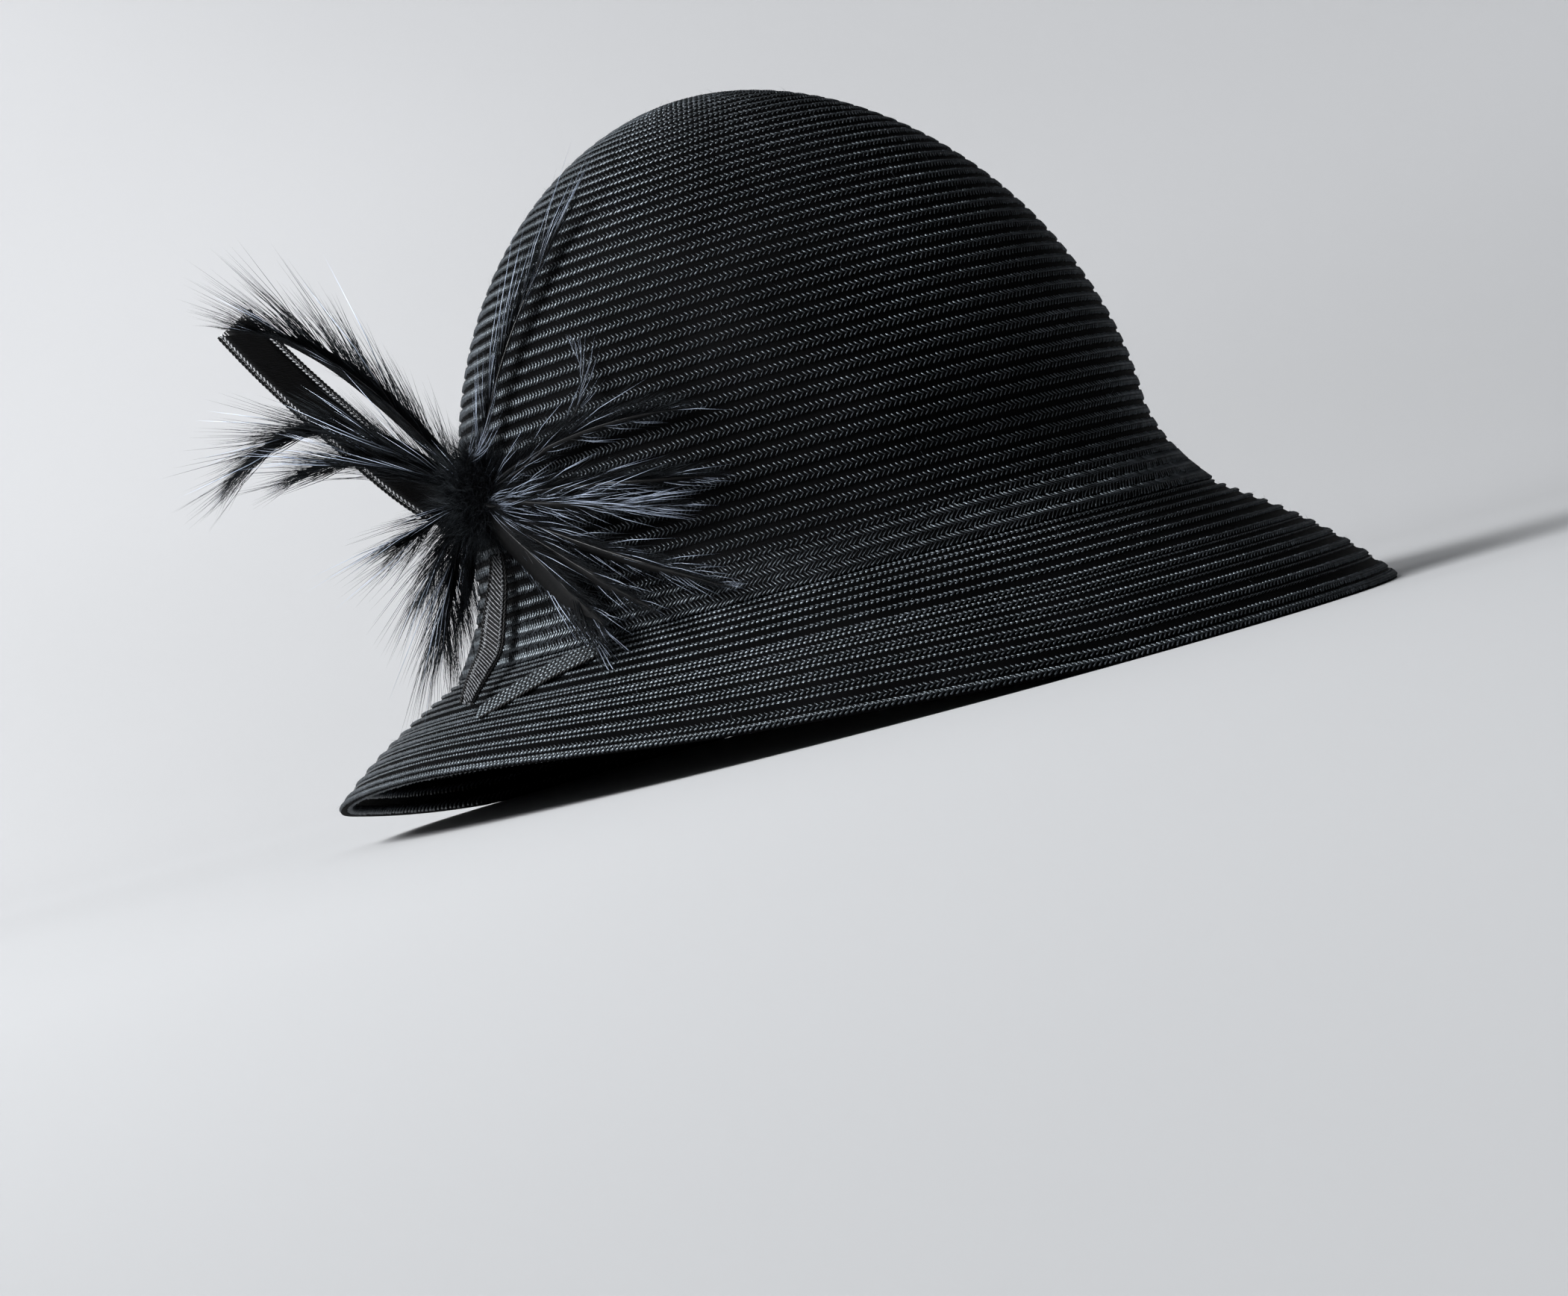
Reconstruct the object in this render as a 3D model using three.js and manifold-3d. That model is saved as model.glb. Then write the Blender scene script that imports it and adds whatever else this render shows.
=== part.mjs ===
// A black straw hat of plaited braid sewn row on row: a rounded dome crown,
// a down-sloping brim, and a trim of feathers and sheer braid strips on the wearer's right.
// Millimetres, +Z up, the front of the hat faces -Y and the wearer's left is +X.
import * as THREE from 'three';
import { mergeVertices } from 'three/addons/utils/BufferGeometryUtils.js';
import Module from 'manifold-3d';

// Crown: a dome over the head line, with a flared foot below it.
// A fullness of 2 is an ellipse, and less is more pointed.
const HEAD_HALF_WIDTH = 86.5;
const HEAD_HALF_LENGTH = 101.5;
const DOME_HEIGHT = 108;
const DOME_FULLNESS = 1.9;
const DOME_LEAN_BACK = 9.5;
const LEAN_CURVE = 1.5;
const FLARE_HEIGHT = 27;
const FLARE_WIDTH = 11;
const FLARE_LENGTH = 13.5;
const FLARE_CURVE = 1.9;

// Brim: how far it reaches and how far it falls from the crown's foot, by direction from the front.
// A fall deeper than the foot's height is held at the floor, which flattens the edge there.
const FOOT_HEIGHT = 37;
const BRIM_LENGTH = 52;
const BRIM_START_SLOPE = 0.8;
const BRIM_TURN_DOWN = 2.2;
const BRIM_BY_DIRECTION = [
  { around: 0, reach: 42, fall: 38.5 },
  { around: 45, reach: 40, fall: 37.2 },
  { around: 90, reach: 39.5, fall: 29.5 },
  { around: 135, reach: 41, fall: 33 },
  { around: 180, reach: 43, fall: 38.5 },
  { around: 225, reach: 41, fall: 28.5 },
  { around: 270, reach: 39.5, fall: 22 },
  { around: 315, reach: 41, fall: 31 },
];

// Braid rows: each row's lower edge stands proud of the row below it
const WALL = 1.3;
const ROW_TOP = 0.2;
const ROW_LIP = 0.9;
const CROWN_ROW_PITCH = 4;
const BRIM_ROWS = 12;
const BRIM_ROW_SPREAD = 1.15;
const LAP_LENGTH = 5;
const LAP_GAP = 0.4;
const SEGMENTS_AROUND = 32;
const CROWN_INSIDE_RINGS = 12;
const BRIM_UNDER_RINGS = 7;

// Trim: the knot, then each feather as three points on the hat's own coordinates.
// around is degrees from the front, along is millimetres up from the crown's foot or, if negative,
// down the brim, and off is millimetres out from the straw.
// A vane or a strip faces out from the straw, to the side, or halfway to the front.
const KNOT = { around: -98, along: 47, off: 5.8 };
const KNOT_HALF = { around: 9, along: 10, off: 5 };
const VANE_THICKNESS = 1.4;
const VANE_STEPS = 7;
const FEATHERS = [
  { name: 'long_back', mid: [-103, 77, 40], tip: [-108, 79, 82], width: 12, face: 'side' },
  { name: 'drooping', mid: [-103, 64, 44], tip: [-110, 44, 76], width: 11, face: 'side' },
  { name: 'short_vane', mid: [-101, 57, 34], tip: [-106, 51, 59], width: 12, face: 'side' },
  { name: 'tuft', mid: [-101, 42, 19], tip: [-106, 35, 32], width: 9, face: 'side' },
  { name: 'hanging_long', mid: [-103, 20, 15], tip: [-107, -14, 7], width: 11, face: 'side' },
  { name: 'hanging_back', mid: [-103, 25, 10], tip: [-107, 6, 9], width: 9, face: 'side' },
  { name: 'hanging_out', mid: [-102, 33, 17], tip: [-106, 12, 23], width: 9, face: 'side' },
  { name: 'crown_rise', mid: [-85, 91, 5], tip: [-68, 133, 4.5], width: 9, face: 'out' },
  { name: 'curl', mid: [-71, 60, 6], tip: [-76, 87, 5], width: 5, face: 'out' },
  { name: 'right_high', mid: [-69, 54, 6], tip: [-46, 49, 4.5], width: 8, face: 'out' },
  { name: 'right_long', mid: [-68, 40, 7], tip: [-43, 31, 5], width: 10, face: 'out' },
  { name: 'right_mid', mid: [-71, 36, 9], tip: [-50, 25, 6], width: 9, face: 'out' },
  { name: 'right_low', mid: [-68, 20, 9], tip: [-46, -15, 7], width: 9, face: 'out' },
  { name: 'broad_vane', mid: [-79, 18, 10], tip: [-64, -26, 8], width: 14, face: 'out' },
  { name: 'low_vane', mid: [-73, 17, 10], tip: [-56, -26, 8], width: 9, face: 'out' },
];
// How wide a vane is at each part of its length
const VANE_SHAPE = [
  { at: 0, width: 0.35 },
  { at: 0.2, width: 0.75 },
  { at: 0.45, width: 1 },
  { at: 0.7, width: 0.85 },
  { at: 0.9, width: 0.45 },
  { at: 1, width: 0.1 },
];

// Sheer strips of braid with a round cord along both edges
const STRIP_THICKNESS = 1;
const CORD_DIAMETER = 1.8;
const STRIP_STEPS = 12;
const STRIPS = [
  {
    name: 'braid_tail', width: 12, point: 0, face: 'side',
    path: [[-111, 47.5, 1.9], [-111, 48, 8], [-111, 66, 33], [-111, 84, 65]],
  },
  {
    name: 'braid_leaf', width: 7, point: 0.4, face: 'front',
    path: [[-99, 32, 3.2], [-97, 15, 6.5], [-94, -5, 5.8], [-89, -27, 3.6]],
  },
  {
    name: 'braid_band', width: 11, point: 0.3, face: 'out',
    path: [[-87, -28, 0.8], [-83, -20, 0.8], [-78, -12, 1], [-72, -7, 1.4]],
  },
];

const STRAW = { color: 0x1c1b1d, roughness: 0.5, metalness: 0 };
const FEATHER = { color: 0x0d0c0e, roughness: 0.6, metalness: 0 };
const SHEER = { color: 0x232225, roughness: 0.5, metalness: 0 };

// The crown's meridian from its foot up to the apex, measured along its mean curve
const FLARE_SAMPLES = 60;
const DOME_SAMPLES = 360;
const meridian = [];
for (let i = 0; i <= FLARE_SAMPLES; i += 1) {
  const height = (FLARE_HEIGHT * i) / FLARE_SAMPLES;
  const spread = (1 - height / FLARE_HEIGHT) ** FLARE_CURVE;
  meridian.push({
    halfWidth: HEAD_HALF_WIDTH + FLARE_WIDTH * spread,
    halfLength: HEAD_HALF_LENGTH + FLARE_LENGTH * spread,
    lean: 0,
    height,
  });
}
for (let i = 1; i <= DOME_SAMPLES; i += 1) {
  const turn = (Math.PI / 2) * (i / DOME_SAMPLES);
  const size = Math.max(0, Math.cos(turn)) ** (2 / DOME_FULLNESS);
  const rise = Math.sin(turn) ** (2 / DOME_FULLNESS);
  meridian.push({
    halfWidth: HEAD_HALF_WIDTH * size,
    halfLength: HEAD_HALF_LENGTH * size,
    lean: DOME_LEAN_BACK * rise ** LEAN_CURVE,
    height: FLARE_HEIGHT + DOME_HEIGHT * rise,
  });
}
const meanRadius = (station) => (station.halfWidth + station.halfLength) / 2;
meridian[0].along = 0;
for (let i = 1; i < meridian.length; i += 1) {
  const out = meanRadius(meridian[i]) - meanRadius(meridian[i - 1]);
  const up = meridian[i].height - meridian[i - 1].height;
  meridian[i].along = meridian[i - 1].along + Math.hypot(out, up);
}
const CROWN_LENGTH = meridian[meridian.length - 1].along;

function crownStation(along) {
  let i = 1;
  while (i < meridian.length - 1 && meridian[i].along < along) i += 1;
  const low = meridian[i - 1];
  const high = meridian[i];
  const t = Math.min(1, (along - low.along) / (high.along - low.along));
  const mix = (key) => low[key] + (high[key] - low[key]) * t;
  return {
    halfWidth: mix('halfWidth'),
    halfLength: mix('halfLength'),
    lean: mix('lean'),
    height: mix('height'),
  };
}

// The brim's reach and fall as one smooth closed curve round the hat
const brimCurve = new THREE.CatmullRomCurve3(
  BRIM_BY_DIRECTION.map((row) => new THREE.Vector3(row.reach, row.fall, 0)),
  true,
  'catmullrom',
  0.5,
);

function brimSize(around) {
  const turn = THREE.MathUtils.euclideanModulo(around, 360) / 360;
  const size = brimCurve.getPoint(turn);
  return { reach: size.x, fall: Math.min(FOOT_HEIGHT, size.y) };
}

// A point of the hat's main surface: up the crown where along is positive, down the brim where it is negative
function hatPoint(around, along) {
  const angle = THREE.MathUtils.degToRad(around);
  const station = crownStation(Math.max(0, along));
  const point = new THREE.Vector3(
    station.halfWidth * Math.sin(angle),
    station.lean - station.halfLength * Math.cos(angle),
    FOOT_HEIGHT + station.height,
  );
  if (along < 0) {
    const part = Math.min(1, -along / BRIM_LENGTH);
    const { reach, fall } = brimSize(around);
    const outX = Math.sin(angle) / station.halfWidth;
    const outY = -Math.cos(angle) / station.halfLength;
    const outward = new THREE.Vector3(outX, outY, 0).normalize();
    point.addScaledVector(outward, reach * part);
    point.z -= fall * part * (BRIM_START_SLOPE + (1 - BRIM_START_SLOPE) * part ** BRIM_TURN_DOWN);
  }
  return point;
}

const TURN_STEP = 0.5;
function hatNormal(around, along, lowest, highest, step) {
  const upper = Math.min(highest, along + step);
  const lower = Math.max(lowest, along - step);
  const turn = hatPoint(around + TURN_STEP, along).sub(hatPoint(around - TURN_STEP, along));
  const rise = hatPoint(around, upper).sub(hatPoint(around, lower));
  return turn.cross(rise).normalize();
}

const FINE_STEP = 1;
function crownSkin(around, along, off) {
  const normal = hatNormal(around, along, 0, CROWN_LENGTH, FINE_STEP);
  return hatPoint(around, along).addScaledVector(normal, off);
}

function brimSkin(around, along, off) {
  const normal = hatNormal(around, along, -BRIM_LENGTH, LAP_LENGTH + FINE_STEP, FINE_STEP);
  return hatPoint(around, along).addScaledVector(normal, off);
}

// The trim sees a softened hat, so that nothing kinks where the crown meets the brim
const SOFT_STEP = 12;
function overHat(around, along, off) {
  const normal = hatNormal(around, along, -BRIM_LENGTH, CROWN_LENGTH, SOFT_STEP);
  return hatPoint(around, along).addScaledVector(normal, off);
}

// Rings of equal count joined into one closed surface, with a single point at each pole
function ringGeometry(rings, startPole, endPole) {
  const points = [];
  const triangles = [];
  const first = rings.map((ring) => {
    const start = points.length;
    points.push(...ring);
    return start;
  });
  const count = rings[0].length;
  const joinRings = (a, b) => {
    for (let i = 0; i < count; i += 1) {
      const j = (i + 1) % count;
      triangles.push(a + i, b + i, b + j, a + i, b + j, a + j);
    }
  };
  for (let k = 0; k + 1 < rings.length; k += 1) joinRings(first[k], first[k + 1]);
  if (startPole) {
    const pole = points.push(startPole) - 1;
    for (let i = 0; i < count; i += 1) triangles.push(pole, first[0] + i, first[0] + ((i + 1) % count));
  }
  if (endPole) {
    const pole = points.push(endPole) - 1;
    const last = first[rings.length - 1];
    for (let i = 0; i < count; i += 1) triangles.push(pole, last + ((i + 1) % count), last + i);
  }
  if (!startPole && !endPole) joinRings(first[rings.length - 1], first[0]);
  const geometry = new THREE.BufferGeometry().setFromPoints(points);
  geometry.setIndex(triangles);
  return facingOut(geometry);
}

function facingOut(geometry) {
  const position = geometry.getAttribute('position');
  const index = geometry.getIndex().array;
  const corner = [0, 1, 2].map(() => new THREE.Vector3());
  let volume = 0;
  for (let i = 0; i < index.length; i += 3) {
    corner.forEach((point, k) => point.fromBufferAttribute(position, index[i + k]));
    volume += corner[0].dot(corner[1].clone().cross(corner[2]));
  }
  if (volume < 0) {
    for (let i = 0; i < index.length; i += 3) [index[i], index[i + 1]] = [index[i + 1], index[i]];
  }
  geometry.computeVertexNormals();
  return geometry;
}

function ringOf(place) {
  return Array.from({ length: SEGMENTS_AROUND }, (_, i) => place((360 * i) / SEGMENTS_AROUND));
}

function crownGeometry() {
  const rows = Math.round(CROWN_LENGTH / CROWN_ROW_PITCH);
  const pitch = CROWN_LENGTH / rows;
  const rings = [];
  for (let row = 0; row < rows; row += 1) {
    const top = CROWN_LENGTH - row * pitch;
    if (row > 0) rings.push(ringOf((around) => crownSkin(around, top, ROW_TOP)));
    rings.push(ringOf((around) => crownSkin(around, Math.max(0, top - pitch), ROW_LIP)));
  }
  for (let k = 0; k < CROWN_INSIDE_RINGS; k += 1) {
    const along = CROWN_LENGTH * (k / CROWN_INSIDE_RINGS);
    rings.push(ringOf((around) => crownSkin(around, along, -WALL)));
  }
  const apex = hatPoint(0, CROWN_LENGTH);
  const outside = apex.clone().add(new THREE.Vector3(0, 0, ROW_LIP));
  const inside = apex.clone().add(new THREE.Vector3(0, 0, -WALL));
  return ringGeometry(rings, outside, inside);
}

// The brim starts as a collar inside the crown's foot and comes up to the main surface at its edge
const LAP_SET = WALL + LAP_GAP;
const brimSet = (part) => -LAP_SET * (1 - part);

function brimEdge(around, inward) {
  const angle = THREE.MathUtils.degToRad(around);
  const edge = hatPoint(around, -BRIM_LENGTH);
  const outX = Math.sin(angle) / HEAD_HALF_WIDTH;
  const outY = -Math.cos(angle) / HEAD_HALF_LENGTH;
  const outward = new THREE.Vector3(outX, outY, 0).normalize();
  return edge.addScaledVector(outward, -inward);
}

const EDGE_CUT_WIDTH = 2.4;
function brimGeometry() {
  const rings = [];
  rings.push(ringOf((around) => brimSkin(around, LAP_LENGTH, -LAP_SET)));
  rings.push(ringOf((around) => brimSkin(around, 0, -LAP_SET)));
  for (let row = 0; row < BRIM_ROWS; row += 1) {
    const top = (row / BRIM_ROWS) ** BRIM_ROW_SPREAD;
    const foot = ((row + 1) / BRIM_ROWS) ** BRIM_ROW_SPREAD;
    if (row > 0) {
      rings.push(ringOf((around) => brimSkin(around, -BRIM_LENGTH * top, brimSet(top) + ROW_TOP)));
    }
    if (row + 1 < BRIM_ROWS) {
      rings.push(ringOf((around) => brimSkin(around, -BRIM_LENGTH * foot, brimSet(foot) + ROW_LIP)));
    }
  }
  rings.push(ringOf((around) => brimEdge(around, 0)));
  rings.push(ringOf((around) => brimEdge(around, EDGE_CUT_WIDTH)));
  for (let k = BRIM_UNDER_RINGS - 1; k >= 0; k -= 1) {
    const part = k / BRIM_UNDER_RINGS;
    rings.push(ringOf((around) => brimSkin(around, -BRIM_LENGTH * part, brimSet(part) - WALL)));
  }
  rings.push(ringOf((around) => brimSkin(around, LAP_LENGTH, -LAP_SET - WALL)));
  return ringGeometry(rings);
}

// The direction that a vane or strip faces at a place on the hat
function faceDirection(around, along, face) {
  const side = hatPoint(around + TURN_STEP, along).sub(hatPoint(around - TURN_STEP, along)).normalize();
  const out = hatNormal(around, along, -BRIM_LENGTH, CROWN_LENGTH, SOFT_STEP);
  if (face === 'side') return side;
  return face === 'out' ? out : out.add(side).normalize();
}

// A flat section swept along a path given in the hat's coordinates, closed at both ends
const PATH_STEP = 0.01;
function sweptGeometry(path, steps, face, sectionAt) {
  const placeAt = (t) => {
    const place = path.getPoint(THREE.MathUtils.clamp(t, 0, 1));
    return overHat(place.x, place.y, place.z);
  };
  const rings = [];
  for (let k = 0; k <= steps; k += 1) {
    const t = k / steps;
    const place = path.getPoint(t);
    const tangent = placeAt(t + PATH_STEP).sub(placeAt(t - PATH_STEP)).normalize();
    const across = faceDirection(place.x, place.y, face).cross(tangent).normalize();
    const normal = tangent.clone().cross(across).normalize();
    const centre = overHat(place.x, place.y, place.z);
    const onSection = ([u, v]) => centre.clone().addScaledVector(across, u).addScaledVector(normal, v);
    rings.push(sectionAt(t).map(onSection));
  }
  const middle = (ring) => ring.reduce((sum, p) => sum.add(p), new THREE.Vector3()).divideScalar(ring.length);
  return ringGeometry(rings, middle(rings[0]), middle(rings[steps]));
}

function vaneWidth(t) {
  let i = 1;
  while (i < VANE_SHAPE.length - 1 && VANE_SHAPE[i].at < t) i += 1;
  const low = VANE_SHAPE[i - 1];
  const high = VANE_SHAPE[i];
  return THREE.MathUtils.mapLinear(t, low.at, high.at, low.width, high.width);
}

function vaneGeometry(feather) {
  const root = new THREE.Vector3(KNOT.around, KNOT.along, KNOT.off);
  const mid = new THREE.Vector3(...feather.mid);
  const tip = new THREE.Vector3(...feather.tip);
  const control = mid.multiplyScalar(2).addScaledVector(root, -0.5).addScaledVector(tip, -0.5);
  const path = new THREE.QuadraticBezierCurve3(root, control, tip);
  return sweptGeometry(path, VANE_STEPS, feather.face, (t) => {
    const half = (feather.width * vaneWidth(t)) / 2;
    const ridge = half * 0.4;
    const deep = (VANE_THICKNESS / 2) * (1 - 0.5 * t);
    return [[half, 0], [ridge, deep], [-ridge, deep], [-half, 0], [-ridge, -deep], [ridge, -deep]];
  });
}

function knotGeometry() {
  const centre = overHat(KNOT.around, KNOT.along, KNOT.off);
  const out = hatNormal(KNOT.around, KNOT.along, 0, CROWN_LENGTH, SOFT_STEP);
  const side = faceDirection(KNOT.around, KNOT.along, 'side');
  const up = out.clone().cross(side);
  const geometry = new THREE.SphereGeometry(1, 12, 8);
  geometry.scale(KNOT_HALF.around, KNOT_HALF.along, KNOT_HALF.off);
  geometry.applyMatrix4(new THREE.Matrix4().makeBasis(side, up, out).setPosition(centre));
  return geometry;
}

// Joining solids
const wasm = await Module();
wasm.setup();

function solidOf(geometry) {
  const plain = geometry.clone();
  plain.deleteAttribute('normal');
  plain.deleteAttribute('uv');
  const merged = mergeVertices(plain, 1e-4);
  return new wasm.Manifold(new wasm.Mesh({
    numProp: 3,
    vertProperties: new Float32Array(merged.getAttribute('position').array),
    triVerts: new Uint32Array(merged.getIndex().array),
  }));
}

function geometryOf(solid) {
  const mesh = solid.getMesh();
  const geometry = new THREE.BufferGeometry();
  geometry.setAttribute('position', new THREE.BufferAttribute(new Float32Array(mesh.vertProperties), 3));
  geometry.setIndex(Array.from(mesh.triVerts));
  geometry.computeVertexNormals();
  return geometry;
}

function sprayGeometry() {
  let spray = solidOf(knotGeometry());
  FEATHERS.forEach((feather) => {
    spray = spray.add(solidOf(vaneGeometry(feather)));
  });
  return geometryOf(spray);
}

function stripGeometry(strip) {
  const path = new THREE.CatmullRomCurve3(strip.path.map((place) => new THREE.Vector3(...place)));
  const cord = CORD_DIAMETER / 2;
  const web = STRIP_THICKNESS / 2;
  return sweptGeometry(path, STRIP_STEPS, strip.face, (t) => {
    const narrowing = 1 - strip.point * (2 * t - 1) ** 2;
    const half = (strip.width * narrowing) / 2;
    const inner = half - CORD_DIAMETER;
    return [
      [half, -cord], [half, cord], [inner, web], [-inner, web],
      [-half, cord], [-half, -cord], [-inner, -web], [inner, -web],
    ];
  });
}

const hat = new THREE.Group();
function addPiece(name, geometry, finish) {
  const mesh = new THREE.Mesh(geometry, new THREE.MeshStandardMaterial(finish));
  mesh.name = name;
  hat.add(mesh);
}

addPiece('crown', crownGeometry(), STRAW);
addPiece('brim', brimGeometry(), STRAW);
addPiece('feather_spray', sprayGeometry(), FEATHER);
STRIPS.forEach((strip) => addPiece(strip.name, stripGeometry(strip), SHEER));

// The hat stands with the middle of its outline over the origin
const outline = new THREE.Box3().setFromObject(hat);
const middle = outline.getCenter(new THREE.Vector3());
hat.position.set(-middle.x, -middle.y, 0);

export default hat;
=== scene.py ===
"""A black straw hat of sewn plaited braid, with its plait, feathers and corded strips.

The hat has its own coordinates. Around is degrees from the front, positive to the wearer's left.
Along is metres up the crown from its foot, or down the brim where it is negative.
Off is metres out from the straw.
"""
import math

import bpy
import numpy as np
from bpy.props import FloatProperty, FloatVectorProperty, IntProperty, PointerProperty
from mathutils import Euler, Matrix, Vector


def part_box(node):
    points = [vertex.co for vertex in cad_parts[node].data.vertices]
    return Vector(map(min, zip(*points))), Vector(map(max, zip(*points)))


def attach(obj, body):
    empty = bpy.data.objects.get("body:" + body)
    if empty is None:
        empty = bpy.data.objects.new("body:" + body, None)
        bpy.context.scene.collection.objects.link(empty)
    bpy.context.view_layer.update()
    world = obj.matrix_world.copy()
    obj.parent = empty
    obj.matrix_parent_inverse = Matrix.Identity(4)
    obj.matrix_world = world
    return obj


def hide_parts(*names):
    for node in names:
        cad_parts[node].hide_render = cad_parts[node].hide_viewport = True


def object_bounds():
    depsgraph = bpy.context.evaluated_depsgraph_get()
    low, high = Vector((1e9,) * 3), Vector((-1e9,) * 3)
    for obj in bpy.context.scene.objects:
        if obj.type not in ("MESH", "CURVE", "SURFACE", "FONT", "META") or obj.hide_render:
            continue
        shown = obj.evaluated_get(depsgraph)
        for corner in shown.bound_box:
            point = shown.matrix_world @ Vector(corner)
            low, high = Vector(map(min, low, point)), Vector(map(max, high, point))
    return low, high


bl_info = {
    "name": "Straw Hat",
    "version": (1, 0, 0),
    "blender": (4, 5, 0),
    "location": "View3D > Sidebar > Straw Hat",
    "description": "Makes a sewn braid straw hat with a feather trim",
    "category": "Add Mesh",
}

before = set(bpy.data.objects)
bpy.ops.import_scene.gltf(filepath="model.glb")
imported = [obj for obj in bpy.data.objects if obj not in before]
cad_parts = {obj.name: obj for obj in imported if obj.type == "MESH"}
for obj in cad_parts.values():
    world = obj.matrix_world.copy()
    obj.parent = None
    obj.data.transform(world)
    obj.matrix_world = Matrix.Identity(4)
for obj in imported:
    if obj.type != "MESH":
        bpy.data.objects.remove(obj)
CAD_BOX = [list(corner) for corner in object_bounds()]
MM = 0.001
PHOTO_WIDTH = 2101.0
PHOTO_HEIGHT = 1736.0

# The brim's reach and fall from the crown's foot, by direction from the front
BRIM_BY_DIRECTION = (
    {"around": 0, "reach": 42.0, "fall": 38.5},
    {"around": 45, "reach": 40.0, "fall": 37.2},
    {"around": 90, "reach": 39.5, "fall": 29.5},
    {"around": 135, "reach": 41.0, "fall": 33.0},
    {"around": 180, "reach": 43.0, "fall": 38.5},
    {"around": 225, "reach": 41.0, "fall": 28.5},
    {"around": 270, "reach": 39.5, "fall": 22.0},
    {"around": 315, "reach": 41.0, "fall": 31.0},
)

# How far a braid row stands out at each part of its width, from its upper edge down.
# On the crown each row laps over the next, the lowest rows lie open, and on the brim the upper edge is proud.
CROWN_ROW = (
    {"at": 0.00, "out": 0.20},
    {"at": 0.24, "out": 0.22},
    {"at": 0.38, "out": 0.38},
    {"at": 0.64, "out": 0.50},
    {"at": 0.94, "out": 0.48},
)
OPEN_ROW = (
    {"at": 0.00, "out": 0.10},
    {"at": 0.10, "out": 0.36},
    {"at": 0.35, "out": 0.48},
    {"at": 0.65, "out": 0.52},
    {"at": 0.92, "out": 0.48},
)
BRIM_ROW = (
    {"at": 0.00, "out": 0.02},
    {"at": 0.12, "out": 0.42},
    {"at": 0.30, "out": 0.52},
    {"at": 0.48, "out": 0.22},
    {"at": 0.75, "out": 0.14},
)

# Feathers from the knot: two places on the path, the full width of the vane and how it faces,
# how long its barbs are on its left and right, seen from its face with the tip up,
# how much of it is closed web, and how many of its barbs carry a painted highlight
FEATHERS = (
    {"name": "long_back", "mid": (-103, 77, 40), "tip": (-108, 79, 82), "width": 12, "face": "side",
     "left": 0.60, "right": 1.80, "web": 0.46, "shine": 0.05},
    {"name": "drooping", "mid": (-103, 64, 44), "tip": (-110, 44, 76), "width": 11, "face": "side",
     "left": 2.00, "right": 1.20, "web": 0.34, "shine": 0.08},
    {"name": "short_vane", "mid": (-101, 57, 34), "tip": (-106, 51, 59), "width": 12, "face": "side",
     "left": 1.65, "right": 1.25, "web": 0.34, "shine": 0.10},
    {"name": "tuft", "mid": (-101, 42, 19), "tip": (-106, 35, 32), "width": 9, "face": "side",
     "left": 1.80, "right": 1.80, "web": 0.22, "shine": 0.08},
    {"name": "hanging_long", "mid": (-103, 20, 15), "tip": (-107, -14, 7), "width": 11, "face": "side",
     "left": 1.70, "right": 1.90, "web": 0.24, "shine": 0.14},
    {"name": "hanging_back", "mid": (-103, 25, 10), "tip": (-107, 6, 9), "width": 9, "face": "side",
     "left": 1.20, "right": 1.40, "web": 0.45, "shine": 0.10},
    {"name": "hanging_out", "mid": (-102, 33, 17), "tip": (-106, 12, 23), "width": 9, "face": "side",
     "left": 1.55, "right": 1.90, "web": 0.22, "shine": 0.08},
    {"name": "crown_rise", "mid": (-85, 91, 5), "tip": (-68, 133, 4.5), "width": 9, "face": "out",
     "left": 2.00, "right": 0.90, "web": 0.16, "shine": 0.24},
    {"name": "curl", "mid": (-71, 60, 6), "tip": (-76, 87, 5), "width": 5, "face": "out",
     "left": 1.30, "right": 1.30, "web": 0.10, "shine": 0.30},
    {"name": "right_high", "mid": (-69, 54, 6), "tip": (-46, 49, 4.5), "width": 8, "face": "out",
     "left": 2.00, "right": 1.20, "web": 0.50, "shine": 0.12},
    {"name": "right_long", "mid": (-68, 40, 7), "tip": (-43, 31, 5), "width": 10, "face": "out",
     "left": 1.50, "right": 1.20, "web": 0.55, "shine": 0.13},
    {"name": "right_mid", "mid": (-71, 36, 9), "tip": (-50, 25, 6), "width": 9, "face": "out",
     "left": 1.50, "right": 1.30, "web": 0.40, "shine": 0.62},
    {"name": "right_low", "mid": (-68, 20, 9), "tip": (-46, -15, 7), "width": 9, "face": "out",
     "left": 1.50, "right": 1.30, "web": 0.50, "shine": 0.20},
    {"name": "broad_vane", "mid": (-79, 18, 10), "tip": (-64, -26, 8), "width": 14, "face": "out",
     "left": 1.10, "right": 1.80, "web": 0.75, "shine": 0.05},
    {"name": "low_vane", "mid": (-73, 17, 10), "tip": (-56, -26, 8), "width": 9, "face": "out",
     "left": 1.30, "right": 1.30, "web": 0.50, "shine": 0.10},
    {"name": "knot_tuft_high", "mid": (-96, 53, 10), "tip": (-90, 56, 13), "width": 8, "face": "out",
     "left": 0.90, "right": 1.60, "web": 0.16, "shine": 0.70},
    {"name": "knot_tuft_low", "mid": (-91, 43, 10), "tip": (-85, 42, 13), "width": 8, "face": "out",
     "left": 0.90, "right": 1.60, "web": 0.16, "shine": 0.70},
)
# How wide the spread of barbs is at each part of the shaft, which stops short of the feather's tip
VANE_SHAPE = (
    {"at": 0.0, "width": 0.55},
    {"at": 0.2, "width": 0.85},
    {"at": 0.45, "width": 1.0},
    {"at": 0.7, "width": 0.92},
    {"at": 0.9, "width": 0.50},
    {"at": 1.0, "width": 0.16},
)

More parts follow.
